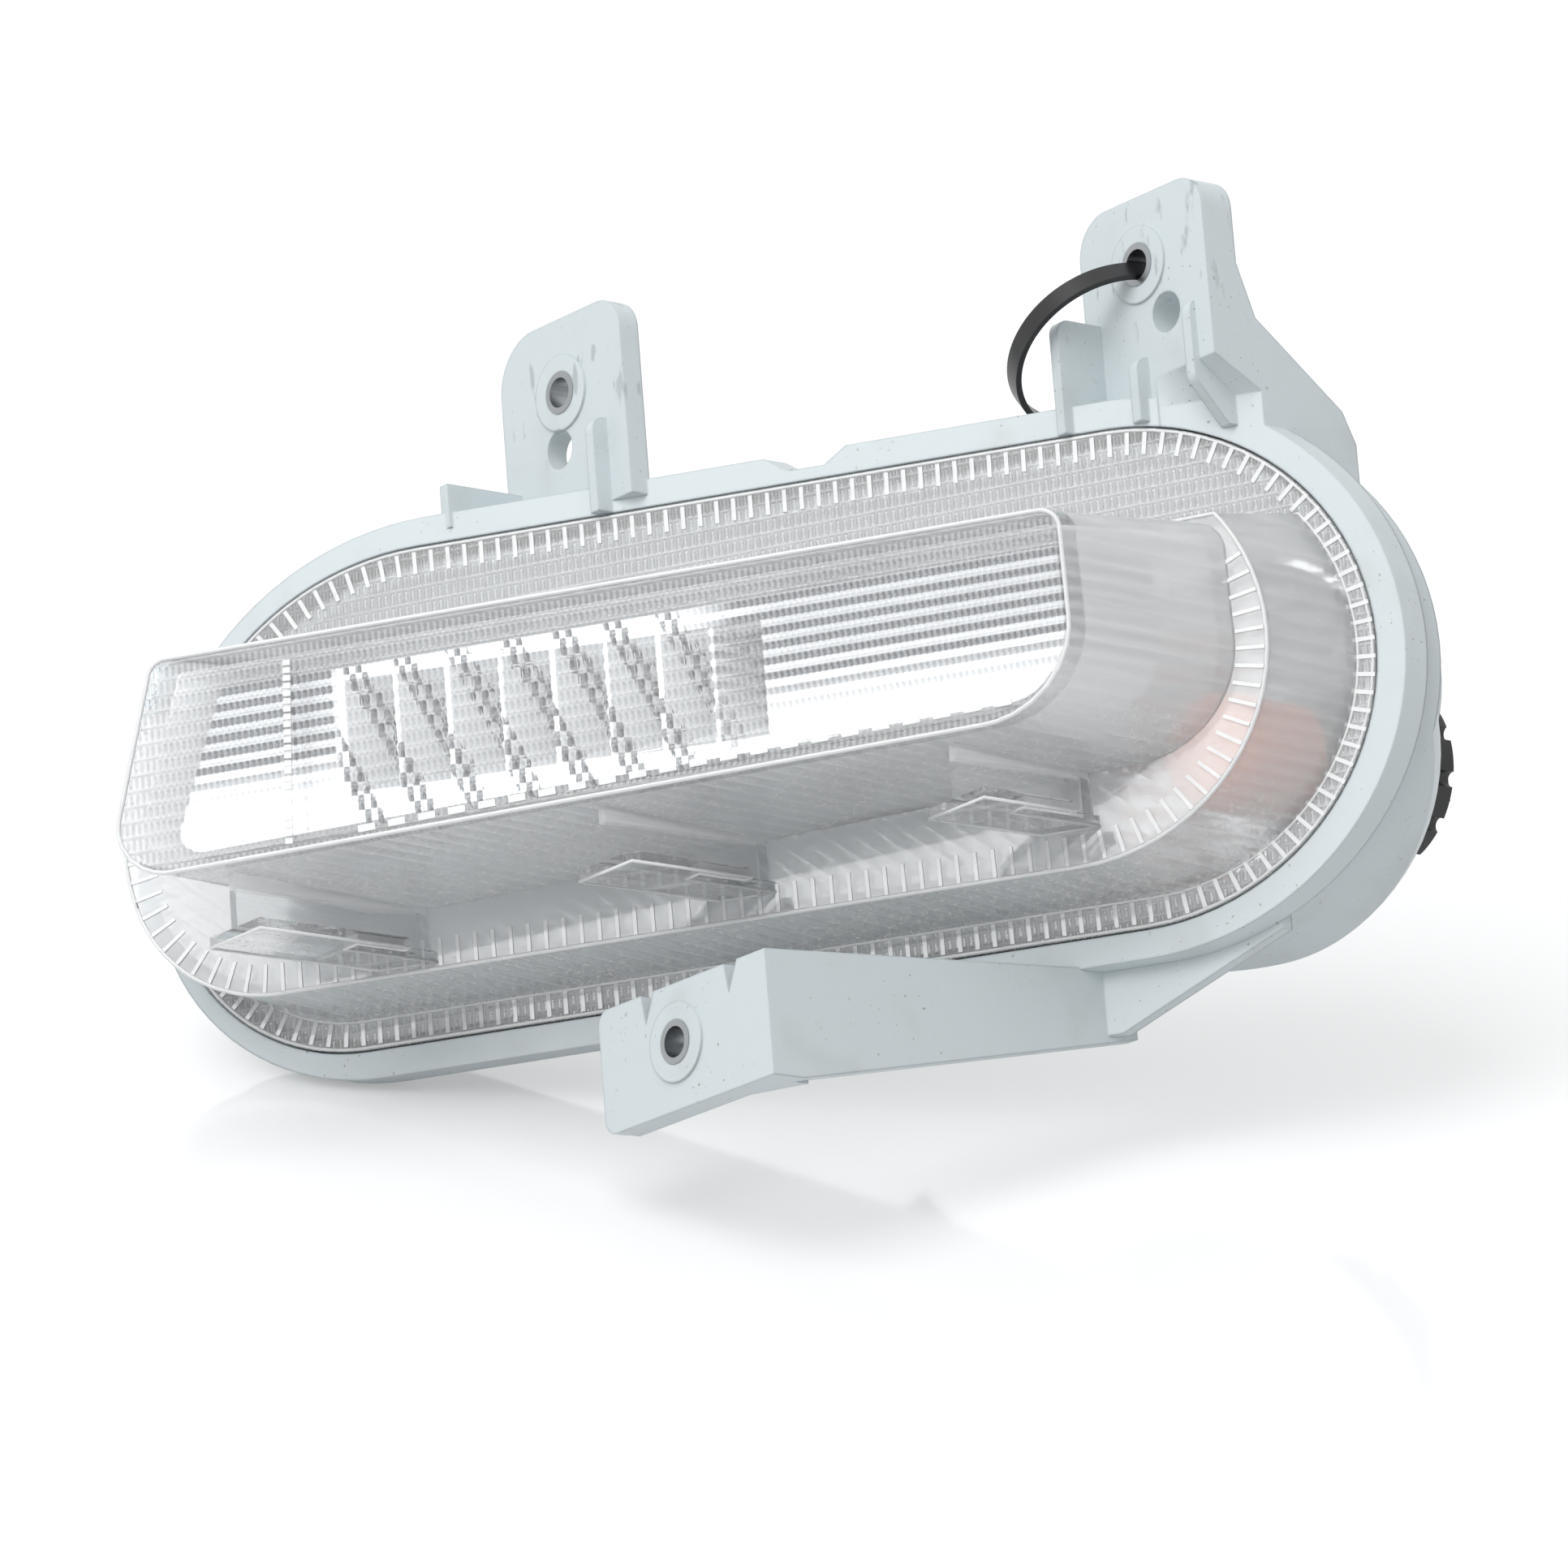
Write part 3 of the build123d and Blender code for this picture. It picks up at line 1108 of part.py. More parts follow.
def main():
    """Build each piece and write it with the left tab's bolt hole at the origin."""
    os.makedirs("parts", exist_ok=True)
    to_origin = Pos(-LEFT_BORE[0], -LEFT_TAB_Y, -LEFT_BORE[1])
    for name, build in PIECES.items():
        export_step(to_origin * build(), f"parts/{name}.step")


main()
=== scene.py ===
"""Looks of the car indicator lamp: finishes, lens optics, light and camera."""
import logging
import math
from dataclasses import dataclass, field
from enum import Enum
from typing import Any, Iterable, Optional, Sequence

import bpy
from mathutils import Matrix, Vector


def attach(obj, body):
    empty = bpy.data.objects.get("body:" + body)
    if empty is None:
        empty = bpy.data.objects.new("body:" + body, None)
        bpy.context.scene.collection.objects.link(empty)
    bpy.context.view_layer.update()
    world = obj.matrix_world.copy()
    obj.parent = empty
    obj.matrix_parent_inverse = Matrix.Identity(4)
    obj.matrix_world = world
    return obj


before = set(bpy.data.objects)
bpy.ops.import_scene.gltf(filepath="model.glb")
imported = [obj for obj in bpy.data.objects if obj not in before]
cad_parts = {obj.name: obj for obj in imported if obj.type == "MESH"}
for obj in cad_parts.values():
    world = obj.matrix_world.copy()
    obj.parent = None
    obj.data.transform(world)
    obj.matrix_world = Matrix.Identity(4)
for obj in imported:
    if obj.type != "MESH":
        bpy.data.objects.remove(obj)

log = logging.getLogger("lamp")
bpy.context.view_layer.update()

# Working point of the part in the shared frame, in metres
ORIGIN = Vector((0.0411, 0.0175, -0.0941))
MM = 0.001

Links = dict[Any, Any]
Settings = dict[str, Any]

# Settings of the nodes that recur in the finishes
TIMES: Settings = {"operation": "MULTIPLY"}
PLUS: Settings = {"operation": "ADD"}
LESS: Settings = {"operation": "SUBTRACT"}
MOST: Settings = {"operation": "MAXIMUM"}
SMOOTH: Settings = {"interpolation_type": "SMOOTHSTEP"}
COLOUR: Settings = {"data_type": "RGBA"}


class Body(Enum):
    """Bodies that the pieces ride on."""

    LAMP = "lamp"
    BULB_UNIT = "bulb_unit"


def srgb(code: str) -> tuple[float, float, float, float]:
    """Turn an sRGB hex colour into linear RGBA.

    Args:
        code: Six hex digits.

    Returns:
        The linear colour with full alpha.
    """
    channels = []
    for start in (0, 2, 4):
        value = int(code[start : start + 2], 16) / 255
        channels.append(value / 12.92 if value <= 0.04045 else ((value + 0.055) / 1.055) ** 2.4)
    return (channels[0], channels[1], channels[2], 1.0)


def place(x: float, y: float, z: float) -> Vector:
    """Turn working millimetres into the shared frame in metres."""
    return ORIGIN + Vector((x, y, z)) * MM


def add(tree: bpy.types.NodeTree, kind: str, links: Optional[Links] = None, **settings: Any) -> bpy.types.Node:
    """Add one node with its settings, values and links.

    Args:
        tree: Node tree to add to.
        kind: Node type name.
        links: Input name or index to a value or to an output socket.
        settings: Attributes of the node.

    Returns:
        The new node.
    """
    node = tree.nodes.new(kind)
    for name, value in settings.items():
        setattr(node, name, value)
    for name, value in (links or {}).items():
        socket = node.inputs[name]
        if isinstance(value, bpy.types.NodeSocket):
            tree.links.new(value, socket)
        else:
            socket.default_value = value
    return node


class Shader:
    """A material's node tree, with distances and patterns in real sizes."""

    def __init__(self, name: str) -> None:
        """Make an empty material.

        Args:
            name: Name of the material.
        """
        self.material = bpy.data.materials.new(name)
        self.material.use_nodes = True
        self.tree = self.material.node_tree
        self.tree.nodes.clear()
        self.output = add(self.tree, "ShaderNodeOutputMaterial")
        self.coordinates = add(self.tree, "ShaderNodeTexCoord").outputs["Object"]

    def add(self, kind: str, links: Links, output: Any = 0, **settings: Any) -> bpy.types.NodeSocket:
        """Add one shader node and give one of its outputs.

        Args:
            kind: Node type name after its common beginning.
            links: Input name or index to a value or to an output socket.
            output: Name or index of the output.
            settings: Attributes of the node.

        Returns:
            The output socket.
        """
        return add(self.tree, f"ShaderNode{kind}", links, **settings).outputs[output]

    def along(self, direction: Sequence[float]) -> bpy.types.NodeSocket:
        """Distance along a direction, in the shared frame's metres."""
        return self.add("VectorMath", {0: self.coordinates, 1: direction}, "Value", operation="DOT_PRODUCT")

    def mottle(
        self, size_mm: float, detail: float = 2.0, stretch: Sequence[float] = (1, 1, 1)
    ) -> bpy.types.NodeSocket:
        """Mottled pattern with spots of about a given size.

        Args:
            size_mm: Size of the spots in millimetres.
            detail: Octaves of the pattern.
            stretch: Scale along each axis.

        Returns:
            The pattern from 0 to 1.
        """
        mapped = self.add("Mapping", {"Vector": self.coordinates, "Scale": stretch})
        links = {"Vector": mapped, "Scale": 1 / (size_mm * MM), "Detail": detail}
        return self.add("TexNoise", links, "Fac")

    def waves(self, distance: Any, pitch_mm: float) -> bpy.types.NodeSocket:
        """Waves of a given pitch over a distance, from -1 to 1."""
        turns = self.add("Math", {0: distance, 1: math.tau / (pitch_mm * MM)}, **TIMES)
        return self.add("Math", {0: turns}, operation="SINE")

    def finish(self, **values: Any) -> bpy.types.Material:
        """Close the tree with a Principled shader.

        Args:
            values: Input names, with underscores for spaces, and their values or sockets.

        Returns:
            The finished material.
        """
        links = {name.replace("_", " "): value for name, value in values.items()}
        shader = add(self.tree, "ShaderNodeBsdfPrincipled", links)
        self.tree.links.new(shader.outputs[0], self.output.inputs[0])
        return self.material


@dataclass(frozen=True)
class Finish:
    """A plain finish.

    Attributes:
        name: Name of the real material.
        colour: sRGB hex colour.
        roughness: Roughness of the surface.
        metallic: 1 for bare metal.
        grain_mm: Size of the surface grain.
        grain_depth_mm: Depth of the surface grain.
    """

    name: str
    colour: str
    roughness: float
    metallic: float = 0.0
    grain_mm: float = 0.4
    grain_depth_mm: float = 0.004

    def build(self) -> bpy.types.Material:
        """Build the material with its fine grain and slight change of tone."""
        shader = Shader(self.name)
        base = srgb(self.colour)
        darker = tuple(0.86 * channel for channel in base[:3]) + (1.0,)
        colour = shader.add("Mix", {0: shader.mottle(12.0, 3.0), 6: darker, 7: base}, 2, **COLOUR)
        links = {"Height": shader.mottle(self.grain_mm), "Distance": self.grain_depth_mm * MM, "Strength": 1.0}
        normal = shader.add("Bump", links)
        return shader.finish(
            Base_Color=colour, Roughness=self.roughness, Metallic=self.metallic, Normal=normal
        )


@dataclass(frozen=True)
class HousingFinish:
    """Pale grey polypropylene: satin front, grained shell, dust specks and scuffed tabs."""

    name: str = "grey_polypropylene"
    colour: str = "CFD8DB"
    dirt: str = "8F8A80"
    scuff: str = "9AA0A4"
    roughness: float = 0.42
    edge_mm: float = 0.7

    def build(self) -> bpy.types.Material:
        """Build the material."""
        shader = Shader(self.name)
        node = shader.add
        specks = node("MapRange", {0: shader.mottle(1.1, 1.0), 1: 0.72, 2: 0.76}, **SMOOTH)
        patches = node("MapRange", {0: shader.mottle(26.0, 4.0), 1: 0.42, 2: 0.62}, **SMOOTH)
        dirt = node("Math", {0: node("Math", {0: specks, 1: patches}, **TIMES), 1: 0.75}, **TIMES)
        clouds = node("MapRange", {0: shader.mottle(18.0, 5.0), 1: 0.5, 2: 0.8}, **SMOOTH)
        film = node("Math", {0: clouds, 1: 0.16}, **TIMES)
        on_tabs = node("MapRange", {0: shader.along((0, 0, 1)), 1: -0.02, 2: 0.0}, **SMOOTH)
        rubbed = shader.mottle(3.5, 4.0, (1.0, 1.0, 0.35))
        streaks = node("MapRange", {0: rubbed, 1: 0.6, 2: 0.68}, **SMOOTH)
        scuffs = node("Math", {0: node("Math", {0: streaks, 1: on_tabs}, **TIMES), 1: 0.55}, **TIMES)
        colour = node("Mix", {0: film, 6: srgb(self.colour), 7: srgb(self.dirt)}, 2, **COLOUR)
        colour = node("Mix", {0: dirt, 6: colour, 7: srgb(self.dirt)}, 2, **COLOUR)
        colour = node("Mix", {0: scuffs, 6: colour, 7: srgb(self.scuff)}, 2, **COLOUR)
        behind = node("MapRange", {0: shader.along((-0.6433, 1, 0)), 1: 0.024, 2: 0.028}, **SMOOTH)
        grain = node("Math", {0: shader.mottle(2.2, 3.0), 1: behind}, **TIMES)
        fine = node("Math", {0: shader.mottle(0.35, 2.0), 1: 0.16}, **TIMES)
        height = node("Math", {0: grain, 1: fine}, **PLUS)
        relief = node("Bump", {"Height": height, "Distance": 0.22 * MM, "Strength": 0.6})
        edges = node("Bevel", {"Radius": self.edge_mm * MM, "Normal": relief}, samples=4)
        return shader.finish(Base_Color=colour, Roughness=self.roughness, Normal=edges)


@dataclass(frozen=True)
class LensFinish:
    """Clear polycarbonate: pillow rows on the window, flutes on the walls and dusty undersides.

    Attributes:
        name: Name of the real material.
        row_pitch_mm: Height of one row of pillows.
        flute_pitch_mm: Width of one pillow.
        wall_pitch_mm: Width of one flute on the walls.
        foot_pitch_mm: Width of one flute on the foot.
        wall_haze: Share of the light that the window's satin walls scatter.
        step_haze: Share of the light that the step scatters.
    """

    name: str = "clear_polycarbonate"
    row_pitch_mm: float = 3.2
    flute_pitch_mm: float = 1.3
    wall_pitch_mm: float = 4.2
    foot_pitch_mm: float = 1.5
    wall_haze: float = 0.38
    step_haze: float = 0.25

    def line(self, shader: Shader, distance: Any, pitch_mm: float, sharpness: float) -> bpy.types.NodeSocket:
        """Narrow bright line once in each pitch.

        Args:
            shader: Shader to add to.
            distance: Distance socket in metres.
            pitch_mm: Pitch of the lines.
            sharpness: Higher is narrower.

        Returns:
            A value from 0 to 1.
        """
        swing = shader.add("Math", {0: shader.waves(distance, 2 * pitch_mm)}, operation="ABSOLUTE")
        ridge = shader.add("Math", {0: 1.0, 1: swing}, **LESS)
        return shader.add("Math", {0: ridge, 1: sharpness}, operation="POWER")

    def build(self) -> bpy.types.Material:
        """Build the material."""
        shader = Shader(self.name)
        node = shader.add
        depth = node("Math", {0: shader.along((-0.7594, 1, 0)), 1: 0.0865}, **PLUS)
        ahead = node("Math", {0: shader.along((0.6433, -1, 0)), 1: 0.00894}, **LESS)
        on_window = node("MapRange", {0: depth, 1: 0.0042, 2: 0.0034}, **SMOOTH)
        on_foot = node("MapRange", {0: ahead, 1: 0.0012, 2: 0.0002}, **SMOOTH)
        past_step = node("MapRange", {0: ahead, 1: 0.0223, 2: 0.0228}, **SMOOTH)
        on_step = node("MapRange", {0: ahead, 1: 0.0205, 2: 0.0215}, **SMOOTH)
        fall = shader.along((-0.0526, 0, 1))
        under_window = node("MapRange", {0: fall, 1: -0.1142, 2: -0.115}, **SMOOTH)
        tongues = node("Math", {0: under_window, 1: past_step}, **TIMES)
        clear_parts = node("Math", {0: on_window, 1: on_foot}, **MOST)
        clear_parts = node("Math", {0: clear_parts, 1: tongues}, **MOST)
        on_wall = node("Math", {0: 1.0, 1: clear_parts}, use_clamp=True, **LESS)

        along = shader.along((0.7964, 0.6048, 0))
        rows = self.line(shader, shader.along((-0.035, 0, 1)), self.row_pitch_mm, 2.0)
        flutes = node("Math", {0: self.line(shader, along, self.flute_pitch_mm, 1.2), 1: 0.55}, **TIMES)
        pillows = node("Math", {0: rows, 1: flutes}, **MOST)
        grid = node("Math", {0: self.line(shader, along, self.foot_pitch_mm, 1.0), 1: rows}, **MOST)
        walls = self.line(shader, shader.along((1, 0, 1)), self.wall_pitch_mm, 1.4)
        off_step = node("Math", {0: 1.0, 1: on_step}, **LESS)
        fluted = node("Math", {0: off_step, 1: past_step}, **MOST)
        fluted = node("Math", {0: on_wall, 1: fluted}, **TIMES)
        wall_part = node("Math", {0: node("Math", {0: walls, 1: fluted}, **TIMES), 1: 0.5}, **TIMES)
        window_part = node("Math", {0: pillows, 1: on_window}, **TIMES)
        foot_part = node("Math", {0: grid, 1: on_foot}, **TIMES)
        pattern = node("Math", {0: window_part, 1: foot_part}, **PLUS)
        pattern = node("Math", {0: pattern, 1: wall_part}, **PLUS)
        normal = node("Bump", {"Height": pattern, "Distance": 0.25 * MM, "Strength": 0.6})

        facing = node("NewGeometry", {}, "Normal")
        down = node("VectorMath", {0: facing, 1: (0, 0, -1)}, "Value", operation="DOT_PRODUCT")
        under = node("MapRange", {0: down, 1: 0.5, 2: 0.9}, **SMOOTH)
        sand = node("MapRange", {0: shader.mottle(1.3, 3.0), 1: 0.56, 2: 0.66}, **SMOOTH)
        drifts = node("MapRange", {0: shader.mottle(24.0, 3.0), 1: 0.38, 2: 0.62}, **SMOOTH)
        sandy = node("Math", {0: node("Math", {0: sand, 1: drifts}, **TIMES), 1: 0.5}, **TIMES)
        dirty = node("Math", {0: under, 1: sandy}, **TIMES)
        colour = node("Mix", {0: dirty, 6: srgb("FAFBFC"), 7: srgb("A39B8C")}, 2, **COLOUR)

        more = node("Math", {0: past_step, 1: self.wall_haze - self.step_haze}, **TIMES)
        satin = node("Math", {0: self.step_haze, 1: more}, **PLUS)
        haze = node("Math", {0: on_wall, 1: satin}, **TIMES)
        haze = node("Math", {0: haze, 1: node("Math", {0: on_foot, 1: 0.2}, **TIMES)}, **PLUS)
        haze = node("Math", {0: haze, 1: node("Math", {0: pattern, 1: 0.16}, **TIMES)}, **PLUS)
        haze = node("Math", {0: haze, 1: dirty}, **PLUS)
        clear = node("Math", {0: 0.97, 1: haze}, use_clamp=True, **LESS)
        roughness = node("Math", {0: node("Math", {0: on_wall, 1: 0.2}, **TIMES), 1: 0.02}, **PLUS)
        return shader.finish(
            Base_Color=colour,
            Roughness=roughness,
            IOR=1.1,
            Transmission_Weight=clear,
            Coat_Weight=1.0,
            Coat_Roughness=0.06,
            Coat_IOR=1.55,
            Normal=normal,
            Coat_Normal=normal,
        )


@dataclass(frozen=True)
class RibFinish:
    """Clear polycarbonate of the small ribs and rounded edges, which catch the light.

    Attributes:
        name: Name of the real material.
        clear: Share of the light that goes straight through.
    """

    name: str = "clear_polycarbonate_ribs"
    clear: float = 0.4

    def build(self) -> bpy.types.Material:
        """Build the material."""
        shader = Shader(self.name)
        links = {0: shader.mottle(2.0, 3.0), 6: srgb("EEF1F3"), 7: srgb("FFFFFF")}
        tone = shader.add("Mix", links, 2, **COLOUR)
        return shader.finish(
            Base_Color=tone,
            Roughness=0.06,
            IOR=1.2,
            Transmission_Weight=self.clear,
            Coat_Weight=1.0,
            Coat_Roughness=0.05,
            Coat_IOR=1.55,
        )


@dataclass(frozen=True)
class ReflectorFinish:
    """Plated reflector with its reflections painted into the colour: painted highlights and painted shade on
    the facets in the cells, painted shade in streaks on the plating beside them.

    Attributes:
        name: Name of the real material.
        bright: Colour of the painted highlights, on the facets that face the light.
        dark: Colour of the painted shade, on the facets that face away and in the streaks beside the cells.
        cell_pitch_mm: Width of one cell along the window.
        left_mm: Left end of the row of cells.
        right_mm: Right end of the row of cells.
    """

    name: str = "plated_reflector_painted_reflections"
    bright: str = "F4F6F7"
    dark: str = "3A4046"
    cell_pitch_mm: float = 11.05
    left_mm: float = 8.5
    right_mm: float = 78.0

    def build(self) -> bpy.types.Material:
        """Build the material."""
        shader = Shader(self.name)
        node = shader.add
        across = shader.along((1, 0, 0))
        left_end = {0: across, 1: self.left_mm * MM, 2: (self.left_mm - 2) * MM}
        right_end = {0: across, 1: (self.right_mm - 16) * MM, 2: (self.right_mm + 6) * MM}
        left = node("MapRange", left_end, **SMOOTH)
        beside = node("Math", {0: left, 1: node("MapRange", right_end, **SMOOTH)}, **MOST)
        along = shader.along((0.7964, 0.6048, 0))
        up = shader.along((-0.035, 0, 1))
        lean = node("Math", {0: along, 1: node("Math", {0: up, 1: 0.42}, **TIMES)}, **PLUS)
        # Painted highlights and painted shade of the facets in the cells, a checked diagonal pattern
        diagonal = node("MapRange", {0: shader.waves(lean, self.cell_pitch_mm), 1: 0.1, 2: 0.35}, **SMOOTH)
        checks = node("Math", {0: shader.waves(along, 2.6), 1: shader.waves(up, 6.4)}, **TIMES)
        checks = node("MapRange", {0: checks, 1: -0.08, 2: 0.08}, **SMOOTH)
        facets = node("Math", {0: diagonal, 1: checks}, **TIMES)
        facets = node("Math", {0: facets, 1: node("Math", {0: 1.0, 1: beside}, **LESS)}, **TIMES)
        # Painted shade in streaks on the plating beside the cells
        stripes = node("MapRange", {0: shader.waves(up, 3.2), 1: -0.4, 2: 0.4}, **SMOOTH)
        high = node("MapRange", {0: up, 1: -0.1, 2: -0.082}, **SMOOTH)
        streaks = node("Math", {0: node("Math", {0: 0.6, 1: stripes}, **PLUS), 1: high}, **TIMES)
        beside = node("Math", {0: beside, 1: streaks}, use_clamp=True, **TIMES)
        # Painted shade: where the plated surface is painted dark to stand for reflections, not a colour of the
        # plating
        painted_shade = node("Math", {0: facets, 1: beside}, **MOST)
        colour = node("Mix", {0: painted_shade, 6: srgb(self.bright), 7: srgb(self.dark)}, 2, **COLOUR)
        ridges = node("Math", {0: shader.waves(up, 6.4)}, operation="ABSOLUTE")
        normal = node("Bump", {"Height": ridges, "Distance": 0.2 * MM, "Strength": 0.4})
        return shader.finish(Base_Color=colour, Roughness=0.3, Metallic=0.3, Normal=normal)


@dataclass(frozen=True)
class BowlFinish:
    """Bright plated bowl around the bulb, with flutes that band its reflections."""

    name: str = "plated_bowl"
    flute_pitch_mm: float = 5.0

    def build(self) -> bpy.types.Material:
        """Build the material."""
        shader = Shader(self.name)
        links = {0: shader.mottle(9.0, 2.0), 6: srgb("E9ECEE"), 7: srgb("F7F8F9")}
        colour = shader.add("Mix", links, 2, **COLOUR)
        flutes = shader.waves(shader.along((0, 0, 1)), self.flute_pitch_mm)
        normal = shader.add("Bump", {"Height": flutes, "Distance": 0.5 * MM, "Strength": 0.5})
        return shader.finish(Base_Color=colour, Roughness=0.16, Metallic=1.0, Normal=normal)


@dataclass(frozen=True)
class AmberFinish:
    """Amber bulb glass."""

    name: str = "amber_glass"
    colour: str = "FF7A1C"

    def build(self) -> bpy.types.Material:
        """Build the material."""
        shader = Shader(self.name)
        return shader.finish(Base_Color=srgb(self.colour), Roughness=0.08, IOR=1.5)


@dataclass
class EdgePiece:
    """A piece that follows an edge of the lens, made with Geometry Nodes.

    Attributes:
        name: Name of the piece.
        path: Points of the edge in the shared frame.
        closed: True where the path is a loop.
    """

    name: str
    path: list[Vector]
    closed: bool = True

    def curve(self) -> bpy.types.Object:
        """Make the edge as a curve object."""
        data = bpy.data.curves.new(self.name, "CURVE")
        data.dimensions = "3D"
        spline = data.splines.new("POLY")
        spline.points.add(len(self.path) - 1)
        for point, position in zip(spline.points, self.path):
            point.co = (*position, 1.0)
        spline.use_cyclic_u = self.closed
        edge = bpy.data.objects.new(self.name, data)
        bpy.context.scene.collection.objects.link(edge)
        return edge

    def inputs(self) -> dict[str, tuple[str, Any]]:
        """Named inputs of the tree: socket type and value of each."""
        raise NotImplementedError

    def fill(self, tree: bpy.types.NodeTree, source: Any) -> bpy.types.NodeSocket:
        """Add the nodes that make the piece.

        Args:
            tree: Tree to add to.
            source: Outputs of the tree's group input.

        Returns:
            The geometry, before it is realized and dressed.
        """
        raise NotImplementedError

    def build(self, material: bpy.types.Material) -> bpy.types.Object:
        """Build the piece as one plain mesh that rides on the lamp.

        Args:
            material: Material of the piece.

        Returns:
            The piece.
        """
        tree = bpy.data.node_groups.new(f"{self.name}_tree", "GeometryNodeTree")
        face = tree.interface
        face.new_socket("Geometry", in_out="INPUT", socket_type="NodeSocketGeometry")
        named = {**self.inputs(), "Material": ("NodeSocketMaterial", material)}
        sockets = {}
        for name, (kind, _) in named.items():
            sockets[name] = face.new_socket(name, in_out="INPUT", socket_type=kind)
        face.new_socket("Geometry", in_out="OUTPUT", socket_type="NodeSocketGeometry")
        source = add(tree, "NodeGroupInput").outputs
        real = add(tree, "GeometryNodeRealizeInstances", {"Geometry": self.fill(tree, source)})
        links = {"Geometry": real.outputs[0], "Material": source["Material"]}
        dressed = add(tree, "GeometryNodeSetMaterial", links)
        add(tree, "NodeGroupOutput", {"Geometry": dressed.outputs[0]})
        edge = self.curve()
        modifier = edge.modifiers.new(self.name, "NODES")
        modifier.node_group = tree
        for name, (_, value) in named.items():
            modifier[sockets[name].identifier] = value
        bpy.context.view_layer.update()
        shown = edge.evaluated_get(bpy.context.evaluated_depsgraph_get())
        mesh = bpy.data.meshes.new_from_object(shown)
        bpy.data.objects.remove(edge)
        piece = bpy.data.objects.new(self.name, mesh)
        bpy.context.scene.collection.objects.link(piece)
        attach(piece, Body.LAMP.value)
        log.info("%s has %d faces", self.name, len(mesh.polygons))
        return piece


@dataclass
class RibRow(EdgePiece):
    """A row of small ribs along an edge.

    Attributes:
        facing: Direction that the ribs stand out in.
        spacing_mm: Pitch of the ribs.
        size_mm: Width along the edge, length across it and height of one rib.
    """

    facing: Vector = field(default_factory=lambda: Vector((0, -1, 0)))
    spacing_mm: float = 3.0
    size_mm: tuple[float, float, float] = (1.1, 5.0, 0.6)

    def inputs(self) -> dict[str, tuple[str, Any]]:
        """Named inputs of the tree: socket type and value of each."""
        return {
            "Spacing": ("NodeSocketFloat", self.spacing_mm * MM),
            "Size": ("NodeSocketVector", [side * MM for side in self.size_mm]),
            "Facing": ("NodeSocketVector", list(self.facing)),
        }

    def fill(self, tree: bpy.types.NodeTree, source: Any) -> bpy.types.NodeSocket:
        """Set a small block on the edge at each pitch.

        Args:
            tree: Tree to add to.
            source: Outputs of the tree's group input.

        Returns:
            The ribs.
        """
        links = {"Curve": source["Geometry"], "Length": source["Spacing"]}
        points = add(tree, "GeometryNodeCurveToPoints", links, mode="LENGTH").outputs
        stand = add(tree, "FunctionNodeAlignRotationToVector", {"Vector": source["Facing"]}, axis="Z")
        links = {"Rotation": stand.outputs[0], "Vector": points["Tangent"]}
        turn = add(tree, "FunctionNodeAlignRotationToVector", links, axis="X", pivot_axis="Z")
        rib = add(tree, "GeometryNodeMeshCube", {"Size": source["Size"]})
        links = {"Points": points["Points"], "Instance": rib.outputs["Mesh"], "Rotation": turn.outputs[0]}
        return add(tree, "GeometryNodeInstanceOnPoints", links).outputs[0]


@dataclass
class EdgeBead(EdgePiece):
    """The rounded edge of the moulding.

    Attributes:
        radius_mm: Radius of the edge.
    """

    radius_mm: float = 0.4

    def inputs(self) -> dict[str, tuple[str, Any]]:
        """Named inputs of the tree: socket type and value of each."""
        return {"Radius": ("NodeSocketFloat", self.radius_mm * MM)}

    def fill(self, tree: bpy.types.NodeTree, source: Any) -> bpy.types.NodeSocket:
        """Sweep a circle along the edge.

        Args:
            tree: Tree to add to.
            source: Outputs of the tree's group input.

        Returns:
            The bead.
        """
        ring = add(tree, "GeometryNodeCurvePrimitiveCircle", {"Resolution": 10, "Radius": source["Radius"]})
        links = {"Curve": source["Geometry"], "Profile Curve": ring.outputs["Curve"], "Fill Caps": True}
        return add(tree, "GeometryNodeCurveToMesh", links).outputs[0]


Outline = list[tuple[float, float]]


def arc(centre: tuple[float, float], radius: float, start: float, end: float) -> Outline:
    """Points of an arc.

    Args:
        centre: Centre of the arc.
        radius: Radius of the arc.
        start: First angle in degrees.
        end: Last angle in degrees.

    Returns:
        Points from the first angle to the last.
    """
    steps = 32
    points = []
    for index in range(steps + 1):
        angle = math.radians(start + (end - start) * index / steps)
        points.append((centre[0] + radius * math.cos(angle), centre[1] + radius * math.sin(angle)))
    return points


def rounded(corners: Sequence[tuple[float, float]], radii: Sequence[float]) -> Outline:
    """Closed outline with rounded corners.

    Args:
        corners: Corners in order.
        radii: Radius at each corner.

    Returns:
        Points of the outline.
    """
    steps = 8
    points = []
    for index, radius in enumerate(radii):
        corner = Vector(corners[index])
        before = (Vector(corners[index - 1]) - corner).normalized()
        after = (Vector(corners[(index + 1) % len(corners)]) - corner).normalized()
        half = before.angle(after) / 2
        start = corner + before * radius / math.tan(half)
        end = corner + after * radius / math.tan(half)
        middle = corner + (before + after).normalized() * radius / math.sin(half)
        for step in range(steps + 1):
            spoke = (start.lerp(end, step / steps) - middle).normalized() * radius
            points.append(tuple(middle + spoke))
    return points


def below(points: Outline, height: float, tilt: float) -> Outline:
    """Cut a closed outline along a line that rises to the right and keep what is below.

    Args:
        points: Points of the outline.
        height: Height of the line in the middle.
        tilt: Rise of the line.

    Returns:
        Points of the part below the line.
    """
    kept = []
    for index, point in enumerate(points):
        last = points[index - 1]
        over = point[1] - height - tilt * point[0]
        last_over = last[1] - height - tilt * last[0]
        if over * last_over < 0:
            share = last_over / (last_over - over)
            kept.append((last[0] + share * (point[0] - last[0]), last[1] + share * (point[1] - last[1])))
        if over <= 0:
            kept.append(point)
    return kept


